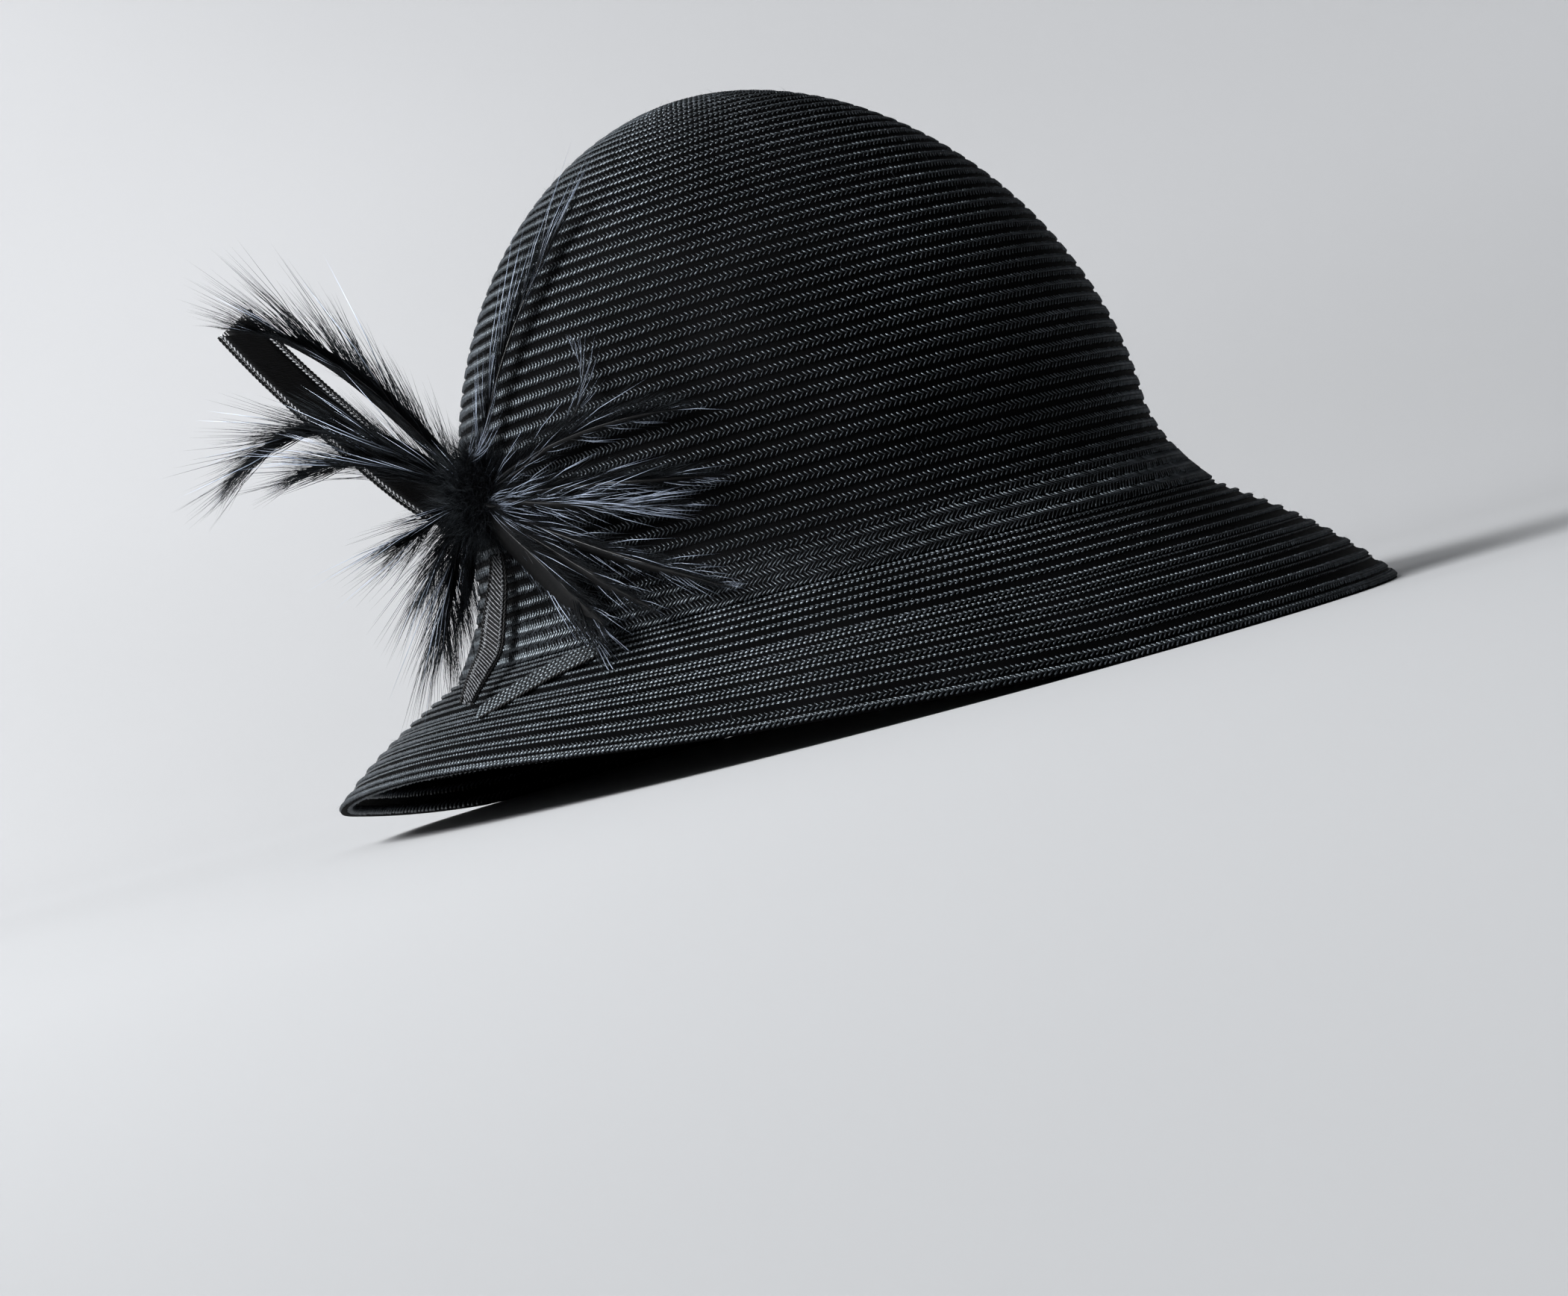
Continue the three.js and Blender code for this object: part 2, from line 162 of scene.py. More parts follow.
# Sheer strips with a cord along both edges: where each runs, its width and how far its ends narrow
STRIPS = (
    {"name": "braid_tail", "width": 12.0, "point": 0.0, "face": "side",
     "path": ((-111, 47.5, 1.9), (-111, 48, 8), (-111, 66, 33), (-111, 84, 65))},
    {"name": "braid_leaf", "width": 7.0, "point": 0.4, "face": "front",
     "path": ((-99, 32, 3.2), (-97, 15, 6.5), (-94, -5, 5.8), (-89, -27, 3.6))},
    {"name": "braid_band", "width": 11.0, "point": 0.3, "face": "out",
     "path": ((-87, -28, 0.8), (-83, -20, 0.8), (-78, -12, 1.0), (-72, -7, 1.4))},
)


def length(name, description, default):
    """A size in metres that a user would change."""
    return FloatProperty(name=name, description=description, default=default, min=0.0,
                         unit="LENGTH", subtype="DISTANCE", precision=5)


def amount(name, description, default):
    """A plain number that a user would change."""
    return FloatProperty(name=name, description=description, default=default)


def turn_of(name, description, default):
    """An angle that a user would change, given here in degrees."""
    return FloatProperty(name=name, description=description, default=math.radians(default),
                         unit="ROTATION", subtype="ANGLE")


def colour(name, description, default):
    """A colour that a user would change."""
    return FloatVectorProperty(name=name, description=description, default=default, size=4,
                               min=0.0, max=1.0, subtype="COLOR")


class StrawHatForm(bpy.types.PropertyGroup):
    """Sizes of the crown and the brim."""

    head_half_width: length("Head Half Width", "Half the head opening from side to side", 0.0865)
    head_half_length: length("Head Half Length", "Half the head opening from front to back", 0.1015)
    dome_height: length("Dome Height", "Height of the dome above the head line", 0.108)
    dome_fullness: amount("Dome Fullness", "2 is an ellipse, less is more pointed", 1.9)
    dome_lean: length("Dome Lean", "How far the top leans to the back", 0.0095)
    lean_curve: amount("Lean Curve", "How late the lean comes in", 1.5)
    flare_height: length("Flare Height", "Height of the flared foot below the head line", 0.027)
    flare_width: length("Flare Width", "How far the foot flares to the sides", 0.011)
    flare_length: length("Flare Length", "How far the foot flares to front and back", 0.0135)
    flare_curve: amount("Flare Curve", "How late the flare comes in", 1.9)
    foot_height: length("Foot Height", "Height of the crown's foot above the floor", 0.037)
    brim_length: length("Brim Length", "Length of the brim in the hat's own coordinates", 0.052)
    brim_start_slope: amount("Brim Start Slope", "Share of the fall that comes evenly", 0.8)
    brim_turn_down: amount("Brim Turn Down", "How late the rest of the fall comes", 2.2)
    wall: length("Wall", "Thickness of the straw under its rows", 0.0013)
    lap_length: length("Lap Length", "How far the brim's collar goes up inside the crown", 0.005)
    lap_gap: length("Lap Gap", "Gap between the crown's foot and the brim's collar", 0.0004)
    edge_cut: length("Edge Cut", "Width of the level cut along the brim's edge", 0.0024)


class StrawHatPlait(bpy.types.PropertyGroup):
    """Sizes of the braid rows and their plaited strands."""

    crown_pitch: length("Crown Row Pitch", "Width of a braid row on the crown", 0.004)
    brim_rows: IntProperty(name="Brim Rows", description="Braid rows on the brim", default=12, min=1)
    brim_spread: amount("Brim Row Spread", "Over 1, rows get wider towards the edge", 1.15)
    open_rows: IntProperty(name="Open Rows", description="Lowest crown rows that lie open", default=3, min=0)
    tight_rows: IntProperty(name="Tight Rows", description="Brim rows that show one line alone", default=6,
                            min=0)
    segments: IntProperty(name="Segments", description="Sides round the hat", default=144, min=24)
    spacing: length("Strand Spacing", "Distance from one chevron to the next", 0.00138)
    strand_width: length("Strand Width", "Width of one straw strand", 0.00062)
    strand_depth: length("Strand Depth", "Thickness of one straw strand", 0.00044)
    chevron_half: length("Chevron Half Width", "Half the width of a plain chevron", 0.00118)
    open_spacing: length("Open Spacing", "Distance between chevrons of an open row", 0.00122)
    open_width: length("Open Strand Width", "Width of a strand of an open row", 0.00060)
    open_half: length("Open Half Width", "Half the width of an open chevron", 0.00185)
    fibre_spacing: length("Fibre Spacing", "Distance between stray fibres along a row", 0.016)
    fibre_reach: length("Fibre Reach", "How far a stray fibre stands out", 0.0011)
    sweep: amount("Strand Sweep", "How far an arm runs along the row for its reach across it", 1.05)
    sway: turn_of("Strand Sway", "How far single strands lie out of true", 6.0)


class StrawHatTrim(bpy.types.PropertyGroup):
    """Sizes of the feathers and the strips."""

    knot_around: amount("Knot Around", "Degrees round the hat from the front", -98.0)
    knot_along: length("Knot Along", "Distance up the crown from its foot", 0.047)
    knot_off: length("Knot Off", "Distance out from the straw", 0.0058)
    knot_half_around: length("Knot Half Width", "Half the bound knot round the hat", 0.009)
    knot_half_along: length("Knot Half Height", "Half the bound knot up the crown", 0.010)
    knot_half_off: length("Knot Half Depth", "Half the bound knot out from the straw", 0.005)
    barb_spacing: length("Barb Spacing", "Distance between short barbs along a shaft", 0.00030)
    hair_spacing: length("Hair Spacing", "Distance between long fine barbs along a shaft", 0.00036)
    # Glint barbs carry a painted highlight.
    glint_spacing: length("Glint Spacing", "Least distance between single bright barbs", 0.0007)
    down_reach: length("Down Reach", "How far the knot's down stands out", 0.0050)
    shaft_share: amount("Shaft Share", "Part of a feather's length that its shaft takes", 0.86)
    shaft_radius: length("Shaft Radius", "Thickness of a feather's shaft at its root", 0.00030)
    cord_radius: length("Cord Radius", "Radius of a strip's twisted edge cord", 0.0005)
    chain_radius: length("Chain Radius", "Radius of the bright chain inside the edge cord", 0.00050)
    cord_lay: length("Cord Lay", "Length of one full twist of a cord", 0.0024)
    thread_radius: length("Thread Radius", "Radius of a thread of the sheer web", 0.00019)
    thread_spacing: length("Thread Spacing", "Distance between threads of the sheer web", 0.00046)
    pale_spacing: length("Pale Spacing", "Distance between pale threads of the narrow leaf", 0.0013)


class StrawHatColours(bpy.types.PropertyGroup):
    """Colours of the straw, the trim and the stage."""

    straw: colour("Straw", "Plaited strands", (0.0060, 0.0064, 0.0072, 1.0))
    straw_pale: colour("Worn Straw", "Strands that are a little paler", (0.046, 0.050, 0.058, 1.0))
    # The ground colours are the straw's own black, darkened further than the strands' as painted shade in the
    # grooves between rows.
    ground: colour("Ground", "Straw in the grooves between strands", (0.0012, 0.0012, 0.0013, 1.0))
    ground_pale: colour("Worn Ground", "Paler places in the grooves", (0.0035, 0.0035, 0.0038, 1.0))
    barb: colour("Barb", "Feather barbs", (0.0025, 0.0026, 0.0031, 1.0))
    barb_pale: colour("Barb Tip", "Thin ends of feather barbs", (0.006, 0.0064, 0.0075, 1.0))
    # Glint barbs carry a painted highlight: a pale bluish colour on black barbs in place of the light that
    # glossy feathers catch.
    painted_glint: colour("Glint Barb", "Single barbs that catch the light", (0.68, 0.79, 1.0, 1.0))
    shaft: colour("Shaft", "Feather shafts", (0.020, 0.020, 0.022, 1.0))
    # The cord and chain colours are pale: a painted highlight for the glossy twisted cords along the strips'
    # edges.
    cord: colour("Cord", "Darker places of the bright chains", (0.45, 0.45, 0.47, 1.0))
    chain: colour("Chain", "Bright chains along the strips", (0.80, 0.81, 0.84, 1.0))
    thread: colour("Thread", "Threads of the sheer web", (0.0062, 0.0060, 0.0066, 1.0))
    thread_pale: colour("Pale Thread", "Pale threads of the narrow leaf", (0.30, 0.31, 0.33, 1.0))
    floor: colour("Floor", "Plain pale floor", (0.51, 0.513, 0.522, 1.0))
    floor_dark: colour("Dark Floor", "Darker clouds on the floor", (0.47, 0.473, 0.48, 1.0))


class StrawHatStage(bpy.types.PropertyGroup):
    """The camera and the light."""

    azimuth: turn_of("Camera Azimuth", "Camera's direction round the hat", -35.0)
    camera_height: length("Camera Height", "Camera above the floor", 0.030)
    distance: length("Camera Distance", "Camera from the hat's middle", 1.10)
    roll: turn_of("Camera Roll", "Camera turned about its own line of sight", 15.0)
    lens: amount("Lens", "Focal length in millimetres", 94.2)
    across: amount("Place Across", "Hat's middle from the picture's left, as a share of its width", 0.483)
    down: amount("Place Down", "Hat's middle from the picture's top, as a share of its height", 0.316)
    key_power: FloatProperty(name="Key Power", description="Soft main light", default=50.0, unit="POWER")
    fill_power: FloatProperty(name="Fill Power", description="Weak light opposite", default=0.5, unit="POWER")
    wash_power: FloatProperty(name="Wash Power", description="Light on the wall", default=26.0, unit="POWER")
    sky_bright: amount("Bright Sky", "Surrounding light on the picture's left", 0.43)
    sky_dark: amount("Dark Sky", "Surrounding light on the picture's right", 0.05)


GROUPS = {
    "straw_hat_form": StrawHatForm,
    "straw_hat_plait": StrawHatPlait,
    "straw_hat_trim": StrawHatTrim,
    "straw_hat_colours": StrawHatColours,
    "straw_hat_stage": StrawHatStage,
}


# The hat's surface
FLARE_STEPS = 61
DOME_STEPS = 361
# Steps for slopes: degrees round the hat, metres along it, and metres for the trim, which bridges the seam
TURN_STEP = 0.5
ALONG_STEP = 0.001
TRIM_STEP = 0.012


class HatSurface:
    """Places on the straw, worked out from the hat's sizes."""

    def __init__(self, form):
        self.form = form
        low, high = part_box("crown")
        self.axis = np.array([(low.x + high.x) / 2, (low.y + high.y) / 2, 0.0])
        step = np.linspace(0.0, 1.0, FLARE_STEPS)
        spread = (1.0 - step) ** form.flare_curve
        turn = np.linspace(0.0, math.pi / 2, DOME_STEPS)[1:]
        size = np.clip(np.cos(turn), 0.0, None) ** (2.0 / form.dome_fullness)
        rise = np.sin(turn) ** (2.0 / form.dome_fullness)
        self.half_width = np.concatenate([form.head_half_width + form.flare_width * spread,
                                          form.head_half_width * size])
        self.half_length = np.concatenate([form.head_half_length + form.flare_length * spread,
                                           form.head_half_length * size])
        self.lean = np.concatenate([0.0 * step, form.dome_lean * rise ** form.lean_curve])
        self.height = np.concatenate([form.flare_height * step,
                                      form.flare_height + form.dome_height * rise])
        mean = (self.half_width + self.half_length) / 2
        self.along = np.concatenate([[0.0], np.cumsum(np.hypot(np.diff(mean), np.diff(self.height)))])
        self.crown_length = float(self.along[-1])
        self.brim_table = np.array([[row["reach"], row["fall"]] for row in BRIM_BY_DIRECTION]) * MM

    def brim(self, around):
        """The brim's reach and fall, as one smooth closed curve round the hat."""
        count = len(self.brim_table)
        place = np.mod(around, 360.0) / 360.0 * count
        first = np.floor(place).astype(int)
        t = (place - first)[..., None]
        before, start, end, after = [self.brim_table[(first + k) % count] for k in (-1, 0, 1, 2)]
        leave = 0.5 * (end - before)
        arrive = 0.5 * (after - start)
        size = (start + leave * t + (3 * (end - start) - 2 * leave - arrive) * t ** 2
                + (2 * (start - end) + leave + arrive) * t ** 3)
        return size[..., 0], np.minimum(size[..., 1], self.form.foot_height)

    def point(self, around, along):
        """Points of the main surface."""
        form = self.form
        around, along = np.broadcast_arrays(np.asarray(around, float), np.asarray(along, float))
        up = np.clip(along, 0.0, None)
        half_width = np.interp(up, self.along, self.half_width)
        half_length = np.interp(up, self.along, self.half_length)
        sine = np.sin(np.radians(around))
        cosine = np.cos(np.radians(around))
        x = half_width * sine
        y = np.interp(up, self.along, self.lean) - half_length * cosine
        z = form.foot_height + np.interp(up, self.along, self.height)
        part = np.clip(-along / form.brim_length, 0.0, 1.0)
        reach, fall = self.brim(around)
        out = np.stack([sine / np.maximum(half_width, 1e-6), -cosine / np.maximum(half_length, 1e-6)], -1)
        out /= np.linalg.norm(out, axis=-1, keepdims=True)
        x = x + out[..., 0] * reach * part
        y = y + out[..., 1] * reach * part
        slope = form.brim_start_slope
        z = z - fall * part * (slope + (1.0 - slope) * part ** form.brim_turn_down)
        return np.stack([x, y, z], -1) + self.axis

    def normal(self, around, along, lowest=None, highest=None, step=ALONG_STEP):
        """Unit directions out of the straw."""
        around, along = np.broadcast_arrays(np.asarray(around, float), np.asarray(along, float))
        lowest = -self.form.brim_length if lowest is None else lowest
        highest = self.crown_length if highest is None else highest
        turn = self.point(around + TURN_STEP, along) - self.point(around - TURN_STEP, along)
        rise = (self.point(around, np.minimum(highest, along + step))
                - self.point(around, np.maximum(lowest, along - step)))
        return unit(np.cross(turn, rise))

    def side(self, around, along):
        """Unit directions round the hat."""
        return unit(self.point(around + TURN_STEP, along) - self.point(around - TURN_STEP, along))

    def crown(self, around, along, off):
        """Points over the crown alone."""
        out = self.normal(around, along, 0.0, self.crown_length)
        return self.point(around, along) + out * np.asarray(off)[..., None]

    def brim_skin(self, around, along, off):
        """Points over the brim and its collar alone."""
        out = self.normal(around, along, -self.form.brim_length, self.form.lap_length + ALONG_STEP)
        return self.point(around, along) + out * np.asarray(off)[..., None]

    def over(self, places):
        """Points for the trim, which sees the hat softened where the crown meets the brim."""
        around, along, off = [places[..., k] for k in range(3)]
        out = self.normal(around, along, step=TRIM_STEP)
        return self.point(around, along) + out * off[..., None]

    def facing(self, places, face):
        """The direction that a vane or a strip faces."""
        around, along = places[..., 0], places[..., 1]
        side = self.side(around, along)
        out = self.normal(around, along, step=TRIM_STEP)
        return {"side": side, "out": out, "front": unit(side + out)}[face]


def unit(vectors):
    """The same directions, one long."""
    return vectors / np.maximum(np.linalg.norm(vectors, axis=-1, keepdims=True), 1e-12)


def hat_surface(context):
    """The surface for the sizes that are set now."""
    return HatSurface(context.scene.straw_hat_form)


# Meshes
def new_piece(name, points, faces, material=None):
    """A mesh object at the origin, linked to the scene."""
    mesh = bpy.data.meshes.new(name)
    mesh.from_pydata(np.asarray(points).tolist(), [], [list(map(int, face)) for face in faces])
    mesh.polygons.foreach_set("use_smooth", np.ones(len(mesh.polygons), bool))
    mesh.update()
    piece = bpy.data.objects.new(name, mesh)
    bpy.context.scene.collection.objects.link(piece)
    if material is not None:
        mesh.materials.append(material)
    return piece


def volume_of(points, faces):
    """Signed volume of a closed skin."""
    total = 0.0
    for face in faces:
        first = points[face[0]]
        for a, b in zip(face[1:-1], face[2:]):
            total += float(np.dot(first, np.cross(points[a], points[b])))
    return total / 6.0


def closed_rings(rings, first_pole=None, last_pole=None):
    """Rings of equal count joined into one closed skin; with no poles the last ring joins the first."""
    rings = np.asarray(rings)
    count, sides = rings.shape[:2]
    points = rings.reshape(-1, 3)
    column = np.arange(sides)
    after = (column + 1) % sides
    faces = []
    joins = count - 1 if first_pole is not None else count
    for k in range(joins):
        a = k * sides
        b = ((k + 1) % count) * sides
        faces.extend(np.stack([a + column, b + column, b + after, a + after], -1).tolist())
    if first_pole is not None:
        points = np.vstack([points, first_pole, last_pole])
        top = count * sides
        last = (count - 1) * sides
        faces.extend([[top, i, j] for i, j in zip(column, after)])
        faces.extend([[top + 1, last + j, last + i] for i, j in zip(column, after)])
    if volume_of(points - points.mean(0), faces) < 0:
        faces = [face[::-1] for face in faces]
    return points, faces


def joined(parts):
    """Several skins as one list of points and faces."""
    points = []
    faces = []
    start = 0
    for some, few in parts:
        points.append(some)
        faces.extend([[start + k for k in face] for face in few])
        start += len(some)
    return np.vstack(points), faces


def tube(path, radius, sides=6):
    """A closed round tube along a path; its radius may change on the way."""
    path = np.asarray(path)
    radius = np.broadcast_to(np.asarray(radius, float), (len(path),))
    ahead = unit(np.gradient(path, axis=0))
    guide = np.array([0.0, 0.0, 1.0])
    if abs(np.dot(ahead[0], guide)) > 0.8:
        guide = np.array([1.0, 0.0, 0.0])
    sideways = []
    for direction in ahead:
        guide = unit(guide - direction * np.dot(guide, direction))
        sideways.append(guide)
    sideways = np.array(sideways)
    other = np.cross(ahead, sideways)
    angle = np.arange(sides) * 2.0 * math.pi / sides
    rings = (path[:, None, :] + radius[:, None, None]
             * (np.cos(angle)[None, :, None] * sideways[:, None, :]
                + np.sin(angle)[None, :, None] * other[:, None, :]))
    return closed_rings(rings, path[0], path[-1])


def line_object(name, lines, closed, **attributes):
    """Polylines in one mesh, each point with its named values, for a node tree to follow."""
    edges = []
    start = 0
    for line in lines:
        steps = np.arange(len(line) - 1)
        edges.extend(np.stack([start + steps, start + steps + 1], -1).tolist())
        if closed:
            edges.append([start + len(line) - 1, start])
        start += len(line)
    mesh = bpy.data.meshes.new(name)
    mesh.from_pydata(np.vstack(lines).tolist(), edges, [])
    for key, values in attributes.items():
        values = np.concatenate(values).astype(np.float32)
        kind = "FLOAT_VECTOR" if values.ndim == 2 else "FLOAT"
        layer = mesh.attributes.new(key, kind, "POINT")
        layer.data.foreach_set("vector" if values.ndim == 2 else "value", values.ravel())
    piece = bpy.data.objects.new(name, mesh)
    bpy.context.scene.collection.objects.link(piece)
    return piece


def set_uv(piece, uv):
    """Gives each corner of a small pattern shape its place in the material's own map."""
    layer = piece.data.uv_layers.new(name="UVMap")
    layer.data.foreach_set("uv", np.asarray(uv, np.float32).ravel())


def place_piece(piece, node):
    """Ties a finished piece to the root and hides the solid that it stands for."""
    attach(piece, "root")
    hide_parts(node)


# Geometry Nodes
class Tree:
    """A geometry node tree made in code."""

    def __init__(self, name, inputs):
        self.group = bpy.data.node_groups.new(name, "GeometryNodeTree")
        face = self.group.interface
        face.new_socket("Geometry", in_out="INPUT", socket_type="NodeSocketGeometry")
        for label, kind in inputs:
            face.new_socket(label, in_out="INPUT", socket_type="NodeSocket" + kind)
        face.new_socket("Geometry", in_out="OUTPUT", socket_type="NodeSocketGeometry")
        self.input = self.node("NodeGroupInput").outputs
        self.output = self.node("NodeGroupOutput").inputs[0]

    def node(self, kind, settings=None, **links):
        """One node; each keyword is an input socket's name with spaces as underscores."""
        made = self.group.nodes.new(kind)
        for key, value in (settings or {}).items():
            setattr(made, key, value)
        for key, value in links.items():
            label = key.replace("_", " ").rstrip("0123456789").strip()
            sockets = [s for s in made.inputs if s.enabled and s.name.lower() == label.lower()]
            digits = key[len(key.rstrip("0123456789")):]
            self.feed(sockets[int(digits) if digits else 0], value)
        return made

    def feed(self, socket, value):
        """Links a socket to an output, or sets it."""
        if isinstance(value, bpy.types.NodeSocket):
            self.group.links.new(value, socket)
        else:
            socket.default_value = value

    def maths(self, operation, first, second):
        """One sum."""
        made = self.node("ShaderNodeMath", {"operation": operation})
        self.feed(made.inputs[0], first)
        self.feed(made.inputs[1], second)
        return made.outputs[0]

    def attribute(self, name, kind="FLOAT"):
        """A named value of the line."""
        made = self.node("GeometryNodeInputNamedAttribute", {"data_type": kind}, Name=name)
        return [s for s in made.outputs if s.enabled][0]

    def chance(self, low, high, seed, same=None):
        """A random number for each point, or for each group of points."""
        made = self.node("FunctionNodeRandomValue", {"data_type": "FLOAT"}, Min=low, Max=high, Seed=seed)
        if same is not None:
            self.feed([s for s in made.inputs if s.name == "ID" and s.enabled][0], same)
        return [s for s in made.outputs if s.enabled][0]

    def vector(self, x, y, z):
        """Three numbers as a vector."""
        return self.node("ShaderNodeCombineXYZ", X=x, Y=y, Z=z).outputs[0]

    def turned(self, rotation, x, y, z):
        """A rotation, turned further about its own axes."""
        by = self.node("FunctionNodeEulerToRotation", Euler=self.vector(x, y, z)).outputs[0]
        made = self.node("FunctionNodeRotateRotation", {"rotation_space": "LOCAL"})
        self.feed(made.inputs[0], rotation)
        self.feed(made.inputs[1], by)
        return made.outputs[0]

    def axes(self, up, ahead):
        """The rotation whose Z and X axes point these ways."""
        made = self.node("FunctionNodeAxesToRotation", {"primary_axis": "Z", "secondary_axis": "X"})
        self.feed(made.inputs[0], up)
        self.feed(made.inputs[1], ahead)
        return made.outputs[0]

    def shape(self, obj):
        """The geometry of a pattern object."""
        made = self.node("GeometryNodeObjectInfo", {"transform_space": "ORIGINAL"}, Object=obj)
        return made.outputs["Geometry"]

    def copies(self, points, shape, rotation, scale, chosen=True):
        """The shape at every chosen point, made real."""
        made = self.node("GeometryNodeInstanceOnPoints", Points=points, Selection=chosen, Instance=shape,
                         Rotation=rotation, Scale=scale)
        return self.node("GeometryNodeRealizeInstances", Geometry=made.outputs[0]).outputs[0]

    def finish(self, geometry, material):
        """Smooth shading and the material, which every branch ends in."""
        smooth = self.node("GeometryNodeSetShadeSmooth", Geometry=geometry).outputs[0]
        return self.node("GeometryNodeSetMaterial", Geometry=smooth, Material=material).outputs[0]

    def end(self, *branches):
        """Joins the branches into the tree's output."""
        join = self.node("GeometryNodeJoinGeometry")
        for branch in branches:
            self.group.links.new(branch, join.inputs[0])
        self.group.links.new(join.outputs[0], self.output)


def grown(piece, tree, **values):
    """Runs a tree on a piece and keeps the result as its plain mesh."""
    modifier = piece.modifiers.new(tree.group.name, "NODES")
    modifier.node_group = tree.group
    for item in tree.group.interface.items_tree:
        if item.in_out == "INPUT" and item.name != "Geometry":
            modifier[item.identifier] = values[item.name.lower().replace(" ", "_")]
    depsgraph = bpy.context.evaluated_depsgraph_get()
    mesh = bpy.data.meshes.new_from_object(piece.evaluated_get(depsgraph), preserve_all_data_layers=True,
                                           depsgraph=depsgraph)
    if len(mesh.polygons) == 0:
        raise RuntimeError(piece.name + " came out empty")
    piece.modifiers.clear()
    piece.data = mesh
    mesh.name = piece.name
    return piece


def forget(piece):
    """Removes a pattern shape once its copies are made."""
    mesh = piece.data
    bpy.data.objects.remove(piece)
    bpy.data.meshes.remove(mesh)


# Plait
ROW_POINTS = 240
STRAND_SIZES = (0.93, 1.07)
# A chevron: how far its point lies ahead, how far a strand runs past the middle,
# and where a strand's ridge is
NOSE_SHARE = 0.5
STRAND_OVERLAP = 0.10
RIDGE_SHIFT = 0.1
RIDGE_RISE = 0.6
# Stray fibres: how thick for their length, how far they rise, how long they are and how many are kept
FIBRE_THICK = 0.034
FIBRE_RISE = (-0.8, -0.1)
FIBRE_SIZES = (0.35, 1.2)
FIBRE_SHARE = 0.6
FULL_TURN = (-3.14, 3.14)


def plait_tree():
    """Chevrons along braid rows: each line's points carry facing and row_scale."""
    tree = Tree("Plait Rows", (("Chevron", "Object"), ("Spacing", "Float"), ("Sway", "Float"),
                               ("Seed", "Int"), ("Straw", "Material")))
    given = tree.input
    curve = tree.node("GeometryNodeMeshToCurve", Mesh=given["Geometry"]).outputs[0]
    points = tree.node("GeometryNodeCurveToPoints", {"mode": "LENGTH"}, Curve=curve, Length=given["Spacing"])
    flat = tree.axes(tree.attribute("facing", "FLOAT_VECTOR"), points.outputs["Tangent"])
    seed = given["Seed"]
    swing = tree.maths("MULTIPLY", given["Sway"], tree.chance(-1.0, 1.0, seed))
    tip = tree.maths("MULTIPLY", given["Sway"], tree.chance(-1.0, 1.0, tree.maths("ADD", seed, 7.0)))
    rotation = tree.turned(flat, tip, 0.0, swing)
    size = tree.chance(*STRAND_SIZES, tree.maths("ADD", seed, 19.0))
    scale = tree.vector(size, tree.maths("MULTIPLY", size, tree.attribute("row_scale")), size)
    plait = tree.copies(points.outputs["Points"], tree.shape(given["Chevron"]), rotation, scale)
    tree.end(tree.finish(plait, given["Straw"]))
    return tree


def chevron_shape(plait, half_row, width, upper_drop, lower_drop):
    """Two straw strands that meet in a point, their ends bent down into the row."""
    wide = width / 2
    deep = plait.strand_depth
    nose = plait.sweep * half_row * NOSE_SHARE
    parts = []
    uv = []
    for side, drop in ((1.0, upper_drop), (-1.0, lower_drop)):
        ends = np.array([[nose, -STRAND_OVERLAP * side * half_row, 0.0],
                         [nose - plait.sweep * half_row, side * half_row, -drop]])
        ahead = unit(ends[1] - ends[0])
        across = unit(np.cross(np.array([0.0, 0.0, 1.0]), ahead)) * wide
        up = np.array([0.0, 0.0, deep])
        ridge = across * RIDGE_SHIFT + up * RIDGE_RISE
        points = np.array([[end - across - up, end + across - up, end + ridge] for end in ends])
        faces = [[0, 1, 4, 3], [1, 2, 5, 4], [2, 0, 3, 5], [2, 1, 0], [3, 4, 5]]
        flat = points.reshape(-1, 3)
        if volume_of(flat - flat.mean(0), faces) < 0:
            faces = [face[::-1] for face in faces]
        place = [(0, 0), (0, 1), (0, 0.5), (1, 0), (1, 1), (1, 0.5)]
        for face in faces:
            uv.extend([place[k] for k in face])
        parts.append((flat, faces))
    points, faces = joined(parts)
    piece = new_piece("chevron_pattern", points, faces)
    set_uv(piece, uv)
    return piece


def stray_tree():
    """Single short fibres that stand out of the rows here and there."""
    tree = Tree("Stray Fibres", (("Fibre", "Object"), ("Spacing", "Float"), ("Reach", "Float"),
                                 ("Seed", "Int"), ("Straw", "Material")))
    given = tree.input
    curve = tree.node("GeometryNodeMeshToCurve", Mesh=given["Geometry"]).outputs[0]
    points = tree.node("GeometryNodeCurveToPoints", {"mode": "LENGTH"}, Curve=curve, Length=given["Spacing"])
    flat = tree.axes(tree.attribute("facing", "FLOAT_VECTOR"), points.outputs["Tangent"])
    seeds = [tree.maths("ADD", given["Seed"], float(k)) for k in range(4)]
    spun = tree.turned(flat, 0.0, 0.0, tree.chance(*FULL_TURN, seeds[0]))
    rotation = tree.turned(spun, 0.0, tree.chance(*FIBRE_RISE, seeds[1]), 0.0)
    grow = tree.maths("MULTIPLY", given["Reach"], tree.chance(*FIBRE_SIZES, seeds[2]))
    chosen = tree.maths("LESS_THAN", tree.chance(0.0, 1.0, seeds[3]), FIBRE_SHARE)
    fibres = tree.copies(points.outputs["Points"], tree.shape(given["Fibre"]), rotation,
                         tree.vector(grow, grow, grow), chosen)
    tree.end(tree.finish(fibres, given["Straw"]))
    return tree


def stray_fibres(name, node, lines, facing, plait, strand, seed):
    """Stray fibres along the rows of the crown or the brim."""
    pattern = barb_shape("fibre_pattern", FIBRE_THICK)
    piece = line_object(name, lines, True, facing=facing)
    grown(piece, stray_tree(), fibre=pattern, spacing=plait.fibre_spacing, reach=plait.fibre_reach, seed=seed,
          straw=strand)
    place_piece(piece, node)
    forget(pattern)


